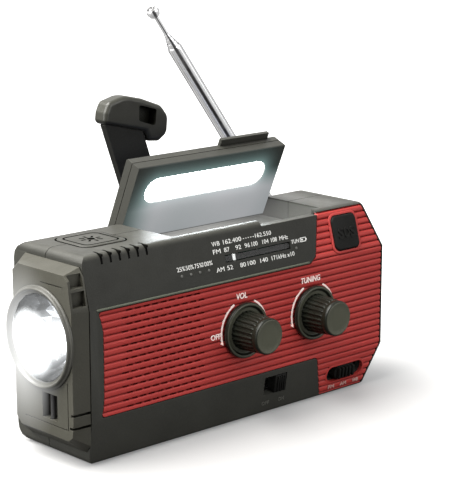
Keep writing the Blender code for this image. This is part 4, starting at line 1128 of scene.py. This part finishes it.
def alarm_button():
    """Rounded pad with raised letters."""
    pad = prism('y', round_rect(ALARM, 2.5), -1.05, 3.4)
    round_edges(pad, 0.7, 4, angle=60)
    middle = ((ALARM[0] + ALARM[1]) / 2, (ALARM[2] + ALARM[3]) / 2)
    stem = cylinder('y', middle, 2.5, 3.0, 7.0)
    letters = move(slabs(lettering(ALARM_ROWS, bold=0.012), 0.5),
                   Matrix.Translation((0, -0.98, 0)))
    finish(move(joined([pad, stem, letters]), UPPER), "alarm_button_moulded", "sos",
           "rubber_black", RUBBER, "sos_button", sharp=45)


def sliders():
    """Ribbed sliders of the band switch and the lamp switch."""
    x, z = BAND
    parts = [prism('y', round_rect(around(BAND, 6.0, 2.9), 2.6, seg=8), 0.2, 4.6)]
    for k in range(5):
        rib_x = x - 4.7 + 2.05 * k
        parts.append(box(rib_x, rib_x + 1.1, -1.45, 0.6, z - 2.35, z + 2.35, 0.35, 3))
    finish(move(joined(parts), LOWER), "band_slider_ribbed", "band_slider", "rubber_black",
           RUBBER, "band_switch_slider", sharp=45)
    parts = [box(96.6, 102.7, -0.1, 4.6, -9.3, -1.9, 0.3, 2)]
    for k in range(4):
        rib_x = 97.6 + 1.15 * k
        parts.append(box(rib_x, rib_x + 0.6, -0.9, 0.3, -8.9, -2.3, 0.2, 2))
    finish(move(joined(parts), LOWER), "lamp_slider_ribbed", "lamp_slider", "rubber_black",
           RUBBER, "lamp_switch_slider", sharp=45)


def lamp_button_rim(outer, inner, span):
    """Rim that follows the button; outer and inner are (corner radius, growth)."""
    return rim('z', round_rect(LAMP_BUTTON, *outer), round_rect(LAMP_BUTTON, *inner),
               span=span, cut=(70, 85))


def lamp_button():
    """Button on the top with a sun icon, its dark surround, and dark fills in the six grooves that
    paint their shade.
    """
    x, y = (LAMP_BUTTON[0] + LAMP_BUTTON[1]) / 2, (LAMP_BUTTON[2] + LAMP_BUTTON[3]) / 2
    icon_z = 80.25
    cap = prism('z', round_rect(LAMP_BUTTON, 4.0), 77.4, 80.35)
    round_edges(cap, 0.45, 3, angle=60)
    boolean(cap, lamp_button_rim((3.0, -2.0), (2.4, -2.7), (79.2, 82)))
    icon = [cylinder('z', (x, y), 1.6, icon_z, 80.42, 32)]
    for k in range(8):
        ray = box(2.5, 4.6, -0.42, 0.42, icon_z, 80.42)
        icon.append(move(ray, Matrix.Translation((x, y, 0))
                         @ Matrix.Rotation(2 * pi * k / 8, 4, 'Z')))
    button = joined([cap, cylinder('z', (x, y), 3.0, 71.0, 77.6)])
    icon.append(lamp_button_rim((3.0, -1.9), (2.5, -2.55), (icon_z, 80.41)))
    ink_and_shade_black = black_ink_and_shade()
    finish(joined(icon), "lamp_button_icon", "lamp_button", "inner_black", ink_and_shade_black, sharp=40)
    surround = lamp_button_rim((4.7, 0.75), (4.0, 0.02), (79.7, 80.05))
    finish(surround, "lamp_button_surround", "case", "inner_black", ink_and_shade_black, sharp=40)
    # Painted shade: black fills laid in the six grooves over the top and on the upper facet.
    shade_fills = []
    for k in range(6):
        x = 9.6 + 4.4 * k
        shade_fills.append(box(x - 0.5, x + 0.5, 4.6, 9.6, 79.0, 79.86))
        shade_fills.append(move(box(x - 0.5, x + 0.5, 0.12, 0.8, 16.2, 18.2), UPPER))
    finish(joined(shade_fills), "groove_shade_fills", "case", "inner_black", ink_and_shade_black, sharp=40)
    finish(button, "lamp_button_moulded", "lamp_button", "case_black", BLACK, "top_button",
           sharp=40)


# ------------------------------------------------------------------ case shells
def stays_crisp(point):
    """True at the dial slot, the lamp switch window and the inside of the front shell."""
    upper = UPPER.inverted() @ point
    if 69 < upper.x < 107.2 and 6 < upper.z < 11 and upper.y > -1:
        return True
    lower = LOWER.inverted() @ point
    if 89.3 < lower.x < 104 and -10.6 < lower.z < -0.6 and lower.y > -1:
        return True
    face_y = (LEAN_HI * max(0, point.z - CREASE_HI) / (CASE_H - CREASE_HI)
              + LEAN_LO * max(0, CREASE_LO - point.z) / CREASE_LO)
    return 2.0 < point.x < 159.2 and 1.2 < point.z < 70.5 and point.y > face_y + 1.0


def case_shells():
    remould("front_shell", "front_shell_moulded", "case", SHELL, bevel=0.28, skip=stays_crisp)
    remould("rear_shell", "rear_shell_moulded", "case", SHELL, bevel=0.28)
    # Tongue across the seam at the far end, bent round both chamfers: (x, z).
    low = [(149.2, 2.35), (157.7, 17.35), (157.7, 22.8), (156.9, 22.8), (156.9, 17.6),
           (148.4, 2.35)]
    high = [(157.7, 51.2), (157.7, 60.5), (150.3, 77.6), (149.5, 77.6), (156.9, 60.3),
            (156.9, 51.2)]
    tongue = joined([prism('y', points, 25.4, 28.2) for points in (low, high)])
    finish(tongue, "seam_tongue", "case", "inner_black", INNER)


# ------------------------------------------------------------------ torch head
HEAD_X = -8.3                           # end face of the head

# Profiles as (radius, x).
LENS_RING_PROFILE = [
    (17.1, -8.4), (20.1, -8.4), (20.1, -8.8), (19.9, -9.1), (19.5, -9.25), (19.3, -9.9),
    (19.15, -10.2), (18.85, -10.35), (18.5, -10.3), (18.3, -10.1), (18.15, -9.7), (17.9, -9.4),
    (17.4, -9.2), (17.1, -9.1)]
LENS_PROFILE = [(0, -8.5), (16.9, -8.5), (17.0, -8.9), (16.6, -9.15), (12, -9.6), (6, -9.85),
                (0, -9.9)]
BOWL_INSIDE = [(16.7, -8.3), (16.0, -6.4), (14.9, -4.0), (13.4, -1.6), (11.4, 0.9), (9.0, 3.1),
               (6.4, 4.9), (3.7, 6.1)]
BOWL_OUTSIDE = [(3.7, 6.5), (6.8, 5.5), (9.6, 3.7), (12.1, 1.3), (14.1, -1.3), (15.6, -4.0),
                (16.6, -6.4), (17.0, -8.3)]
TORCH_LED_PROFILE = [(0, 6.45), (3.2, 6.45), (3.2, 5.7), (2.9, 5.2), (2.4, 4.3), (1.5, 3.6),
                     (0, 3.3)]


def head_bezel():
    """Torch head with three engraved lines in its end face."""
    head = clone("head_bezel")
    lines = [box(HEAD_X - 1, HEAD_X + 0.35, 5.4, 18.7, 69.7, 70.15),
             box(HEAD_X - 1, HEAD_X + 0.3, 4.2, 30.0, 15.4, 15.8),
             box(HEAD_X - 1, HEAD_X + 0.3, 3.4, 3.8, 15.4, 34.0)]
    boolean(head, lines)
    with editing(head.data) as edit:
        # Close any hole the cuts leave.
        bmesh.ops.remove_doubles(edit, verts=edit.verts, dist=0.0005)
        gap = [edge for edge in edit.edges if len(edge.link_faces) == 1]
        if gap:
            bmesh.ops.holes_fill(edit, edges=gap, sides=0)
            bmesh.ops.recalc_face_normals(edit, faces=edit.faces)
    finish(head, "head_bezel_moulded", "case", "case_black", HEAD, "head_bezel", bevel=0.3,
           sharp=32)


def reflector():
    """Deep bowl of flat triangular facets with an open neck for the LED."""
    count = 18
    edit = bmesh.new()
    rings = []
    for i, (radius, x) in enumerate(BOWL_INSIDE + BOWL_OUTSIDE):
        shift = 0.5 if i % 2 and i < len(BOWL_INSIDE) else 0.0
        angles = [2 * pi * (k + shift) / count for k in range(count)]
        rings.append([edit.verts.new((x, TORCH[0] + radius * cos(a), TORCH[1] + radius * sin(a)))
                      for a in angles])
    for i, ring in enumerate(rings):
        after = rings[(i + 1) % len(rings)]
        for k in range(count):
            j = (k + 1) % count
            if i >= len(BOWL_INSIDE) - 1:
                edit.faces.new((ring[k], ring[j], after[j], after[k]))
            elif i % 2:
                edit.faces.new((ring[k], ring[j], after[j]))
                edit.faces.new((ring[k], after[j], after[k]))
            else:
                edit.faces.new((ring[k], ring[j], after[k]))
                edit.faces.new((ring[j], after[j], after[k]))
    bmesh.ops.recalc_face_normals(edit, faces=edit.faces)
    return from_bmesh(edit, "reflector")


def torch_optics():
    finish(turned('x', TORCH, LENS_RING_PROFILE, 96), "lens_ring_turned", "case", "case_black",
           RING, "lens_ring", sharp=50)
    finish(turned('x', TORCH, LENS_PROFILE, 80), "flashlight_lens_domed", "case", "clear_lens",
           LENS, "flashlight_lens", sharp=50)
    finish(reflector(), "flashlight_reflector_faceted", "case", "reflector", MIRROR,
           "flashlight_reflector", sharp=3)
    finish(turned('x', TORCH, TORCH_LED_PROFILE, 40), "torch_led", "case", "lamp_diffuser", LED,
           sharp=60)


# ------------------------------------------------------------------ lid
def lid():
    """Both lid shells, and the lamp cover modelled closed and then opened with the lid."""
    remould("lid_inner_shell", "lid_inner_moulded", "lid", LID_FACE)
    remould("lid_outer_shell", "lid_outer_moulded", "lid", BLACK)
    cover = prism('z', round_rect(LID_LAMP, LID_LAMP_R, seg=12), -2.1, 0.8)
    round_edges(cover, 0.9, 4, angle=60)
    finish(move(cover, LID_SEAT @ LID_TURN), "lamp_diffuser_domed", "lid", "lamp_diffuser",
           OPAL, "lamp_diffuser", sharp=60)


# ------------------------------------------------------------------ crank
# Outer edge of the grip in case coordinates: (x, z, corner radius).
GRIP_EDGE = [(55.6, 121.8, 3.4), (57.6, 125.9, 3.0), (66.0, 128.0, 12), (75.5, 125.8, 12),
             (85.8, 122.0, 5.5), (89.5, 117.4, 4.5), (88.9, 110.0, 4.2), (84.4, 107.1, 2.6)]
# Its edge next to the arm, in the crank's frame: (u, v) or (u, v, corner radius).
GRIP_ROOT = [(9.35, 66.4, 2.1), (9.35, 70.85), (-9.6, 83.27, 2.0)]
# Four-cornered pocket in its front: (x, z) in case coordinates.
GRIP_POCKET = [(73.2, 123.6), (82.6, 120.8), (81.8, 113.9), (73.0, 116.9)]


def crank_uv(x, z):
    """Case (x, z) in the crank's frame: across and along the arm."""
    off_x, off_z = x - CRANK[0], z - CRANK[1]
    return (off_x * cos(CRANK_LEAN) + off_z * sin(CRANK_LEAN),
            -off_x * sin(CRANK_LEAN) + off_z * cos(CRANK_LEAN))


def crank():
    remould("crank_arm", "crank_arm_moulded", "crank", ARM_SHADED, bevel=0.35, seg=3)
    outline = [(*crank_uv(x, z), radius) for x, z, radius in GRIP_EDGE] + GRIP_ROOT
    grip = prism('y', round_poly(outline, 12), 57.5, 65.5)
    round_edges(grip, 1.9, 6, angle=50)
    pocket = round_poly([(*crank_uv(x, z), 1.0) for x, z in GRIP_POCKET], 5)
    boolean(grip, prism('y', pocket, 50, 62), solver='FAST')
    pin_hole = cylinder('x', (60.6, 68.6), 1.15, 5, 17.3, 24)
    boolean(grip, pin_hole, solver='FAST')
    finish(move(grip, CRANK_FRAME), "crank_grip_moulded", "grip", "case_black", GRIP,
           "crank_grip", sharp=40, weighted=True)


# ------------------------------------------------------------------ telescopic antenna
# Sections 2 to 4: outer radius, bore radius, start, end, crimp at the end.
ANTENNA_TUBES = ((2.4, 2.05, 12.0, 98.2, 0.3), (1.85, 1.5, 14.0, 100.4, 0.3),
                 (1.3, 0.98, 16.0, 102.6, 0.28))
# Profiles as (radius, along).
TUBE_1_PROFILE = [(2.62, 9.0), (2.62, 95.9), (2.75, 96.0), (2.85, 95.9), (2.93, 95.4),
                  (3.0, 94.4), (3.0, 3.0), (0, 3.0), (0, 9.0)]
KNUCKLE_PROFILE = [(1.8, -2.9), (4.3, -2.9), (4.6, -2.6), (4.6, 2.6), (4.3, 2.9), (1.8, 2.9)]
ROD_PROFILE = [(0, 26.0), (0.7, 26.0), (0.88, 26.3), (0.88, 111.4), (0.88, 111.7), (0, 111.7)]
TIP_PROFILE = [
    (0, 111.9), (1.2, 111.9), (1.7, 112.1), (2.15, 112.5), (2.25, 112.9), (2.2, 113.3),
    (2.5, 113.6), (2.62, 114.0), (2.62, 114.9), (2.5, 115.4), (2.2, 115.8), (1.8, 116.0),
    (1.6, 115.9), (1.1, 115.8), (0.8, 116.0), (0.4, 116.15), (0, 116.2)]


def antenna_piece(obj, node, body, sharp=60):
    finish(move(obj, ANTENNA_FRAME), node + "_polished", body, "antenna_chrome", CHROME, node,
           sharp=sharp)


def antenna():
    first = turned('z', (0, 0), TUBE_1_PROFILE, 56)
    boolean(first, turned('y', (0, 0), KNUCKLE_PROFILE, 56), 'UNION')
    boolean(first, cylinder('y', (0, 0), 1.8, -10, 10, 32))
    antenna_piece(first, "antenna_tube_1", "antenna_1", sharp=40)
    for i, (outer, bore, start, end, crimp) in enumerate(ANTENNA_TUBES, 2):
        profile = [(bore, start), (outer - 0.15, start), (outer, start + 0.2),
                   (outer, end - 1.8), (outer - 0.06, end - 1.2), (outer - 0.16, end - 0.7),
                   (outer - crimp * 0.6, end - 0.3), (outer - crimp, end - 0.08),
                   (max(bore, outer - crimp - 0.05), end)]
        antenna_piece(turned('z', (0, 0), profile, 48), f"antenna_tube_{i}", f"antenna_{i}")
    antenna_piece(turned('z', (0, 0), ROD_PROFILE, 32), "antenna_rod", "antenna_end")
    antenna_piece(turned('z', (0, 0), TIP_PROFILE, 48), "antenna_tip", "antenna_end")


# ------------------------------------------------------------------ dial pointer
def dial_pointer():
    tip = box(75.5, 76.9, 1.5, 1.8, 7.2, 9.6, 0.1, 2)
    finish(move(tip, UPPER), "dial_pointer_tip", "pointer", "white_plastic", POINTER_PAINTED_GLOW)
    carriage = box(75.6, 76.8, 1.85, 5.0, 7.3, 9.5, 0.15, 2)
    finish(move(carriage, UPPER), "dial_pointer_carriage", "pointer", "inner_black", INNER,
           "dial_pointer")


# ------------------------------------------------------------------ parts that keep their CAD shape
# (material, edge radius in mm, bevel segments, names)
KEPT_PARTS = (
    (RUBBER, 0.2, 2, "foot_strip_1 foot_strip_2"),
    (RUBBER, 0.25, 2, "port_cover"),
    (STEEL, 0.08, 1, "case_screw_1 case_screw_2 case_screw_3"),
    (STEEL, 0.1, 2, "lid_hinge_pin grip_pin antenna_pivot_screw"),
    (STEEL, 0.12, 2, "vol_potentiometer band_switch_body lamp_switch_body"),
    (STEEL, 0.12, 2, "usb_out_port usb_in_port speaker_frame"),
    (STEEL, 0.15, 2, "crank_shaft"),
    (STEEL, 0.2, 2, "gear_bracket"),
    (BOARD, 0.1, 2, "flashlight_led_board lamp_led_board"),
    (BOARD, 0.0, 2, "main_pcb"),
    (INNER, 0.15, 2, "lanyard_bar"),
    (INNER, 0.2, 2, "headphone_jack"),
    (SOLAR, 0.15, 2, "solar_cell"),
    (NYLON, 0.0, 2, "crank_gear idler_gear"),
    (CAN, 0.0, 2, "dynamo_rotor"),
    (CAN, 0.3, 2, "dynamo_housing"),
    (BLACK, 0.2, 2, "antenna_base"),
    (BLACK, 0.25, 2, "battery_door"),
    (WINDOW, 0.1, 2, "dial_window"),
    (WHITE, 0.2, 2, "tuning_capacitor"),
    (SLEEVE, 0.4, 2, "battery_cell"),
    (PAPER, 0.0, 2, "speaker_cone"),
    (FERRITE, 0.3, 2, "speaker_magnet ferrite_rod"))


def kept_parts():
    for material, bevel, seg, names in KEPT_PARTS:
        for name in names.split():
            dress(name, material, bevel, seg)


# ------------------------------------------------------------------ floor, world, lights, camera
def floor_material():
    """To the camera grey close by and white further off; darker to all other rays; see-through
    from below."""
    mat = Material("floor_white")
    cloud = mat.noise(scale=3, detail=3)
    camera_ray = mat.add("ShaderNodeLightPath", "Is Camera Ray")
    x, y, z = mat.split()
    distance = (x * x + y * y * 1.0).sqrt()
    fade = distance.fit(of=(0.06, 0.24), to=(0.18, 1.0), smooth=True)
    seen = mat.mix(cloud, (0.36, 0.36, 0.36), (0.38, 0.38, 0.38))
    felt = mat.mix(cloud, (0.10, 0.10, 0.10), (0.11, 0.11, 0.11))
    mat.set(color=mat.mix(camera_ray, felt, seen), rough=0.9, spec=0.0, emit=(1, 1, 1),
            glow=fade * 1.05 * camera_ray)
    surface = mat.mix_shader(mat.geometry("Backfacing"), mat.shader.outputs[0],
                             mat.add("ShaderNodeBsdfTransparent", 0))
    mat.put(mat.tree.nodes["Material Output"].inputs[0], surface)
    return mat.material


def floor():
    edit = bmesh.new()
    bmesh.ops.create_grid(edit, x_segments=8, y_segments=8, size=6.0)
    obj = from_bmesh(edit, "floor", collection=SCENE.collection)
    obj.data.materials.append(floor_material())


def studio_world():
    """White to the camera, a vertical gradient for light, dark flags for reflections."""
    world = bpy.data.worlds.new("studio")
    SCENE.world = world
    world.use_nodes = True
    world.node_tree.nodes.clear()
    graph = Graph(world.node_tree, "Generated")
    x, y, z = graph.split()

    def background(strength):
        return graph.add("ShaderNodeBackground", 0, {0: (1, 1, 1, 1), 1: strength})

    ambient = background(z.fit(of=(0.0, 1.0), to=(0.32, 0.95)))
    # Three flags round the horizon.
    angle = graph.math('ARCTAN2', y, x) * 3.0 + 0.6
    flags = graph.add("ShaderNodeMath", 0, {0: angle}, operation='COSINE')
    reflected = background(flags.fit(of=(0.55, 0.85), to=(1.0, 0.08)))
    rays = graph.node("ShaderNodeLightPath").outputs
    mixed = graph.mix_shader(rays["Is Glossy Ray"], ambient, reflected)
    mixed = graph.mix_shader(rays["Is Camera Ray"], mixed, background(1.0))
    graph.put(graph.node("ShaderNodeOutputWorld").inputs[0], mixed)


def area_light(name, place, aim, size, power, colour=(1, 1, 1)):
    """Rectangular light in metres and watts."""
    light = bpy.data.lights.new(name, 'AREA')
    light.shape = 'RECTANGLE'
    light.size, light.size_y = size
    light.energy = power
    light.color = colour
    obj = bpy.data.objects.new(name, light)
    obj.location = place
    obj.rotation_euler = (Vector(aim) - Vector(place)).to_track_quat('-Z', 'Y').to_euler()
    SCENE.collection.objects.link(obj)


def lights():
    area_light("key", place=(-0.50, 0.27, 0.95), aim=(0, 0, 0.05), size=(1.1, 0.9), power=40.0,
               colour=(1.0, 0.985, 0.95))
    area_light("torch_side", place=(-1.05, 0.30, 0.35), aim=(0, 0, 0.06), size=(0.5, 0.5),
               power=6.0)
    area_light("front_fill", place=(0.35, -1.15, 0.45), aim=(0, 0, 0.05), size=(0.9, 0.6),
               power=4.0)


def camera():
    place = Vector((-382.667, -484.101, 227.519))       # case coordinates
    forward = Vector((0.66395, 0.71232, -0.22751)).normalized()
    right = forward.cross(Vector((0, 0, 1))).normalized()
    up = right.cross(forward)
    data = bpy.data.cameras.new("camera")
    data.sensor_fit = 'VERTICAL'
    data.sensor_height = 36.0
    data.lens = 124.89
    data.clip_start = 0.01
    data.clip_end = 50
    obj = bpy.data.objects.new("camera", data)
    turn = Matrix((right, up, -forward)).transposed().to_4x4()
    obj.matrix_world = Matrix.Translation(TO_FRAME @ place) @ turn
    SCENE.collection.objects.link(obj)
    SCENE.camera = obj
    SCENE.view_settings.view_transform = 'Standard'
    SCENE.view_settings.look = 'None'


# ------------------------------------------------------------------ build
red_panel()
panel_rims()
dial_print()
knob_print()
switch_prints()
indicator_lamps()
crease_trim()
knob("vol_knob_fluted", "vol_knob", "volume", VOLUME)
knob("tuning_knob_fluted", "tuning_knob", "tuning", TUNING)
alarm_button()
sliders()
lamp_button()
case_shells()
head_bezel()
torch_optics()
lid()
crank()
antenna()
dial_pointer()
kept_parts()
floor()
studio_world()
lights()
camera()

bpy.context.view_layer.update()
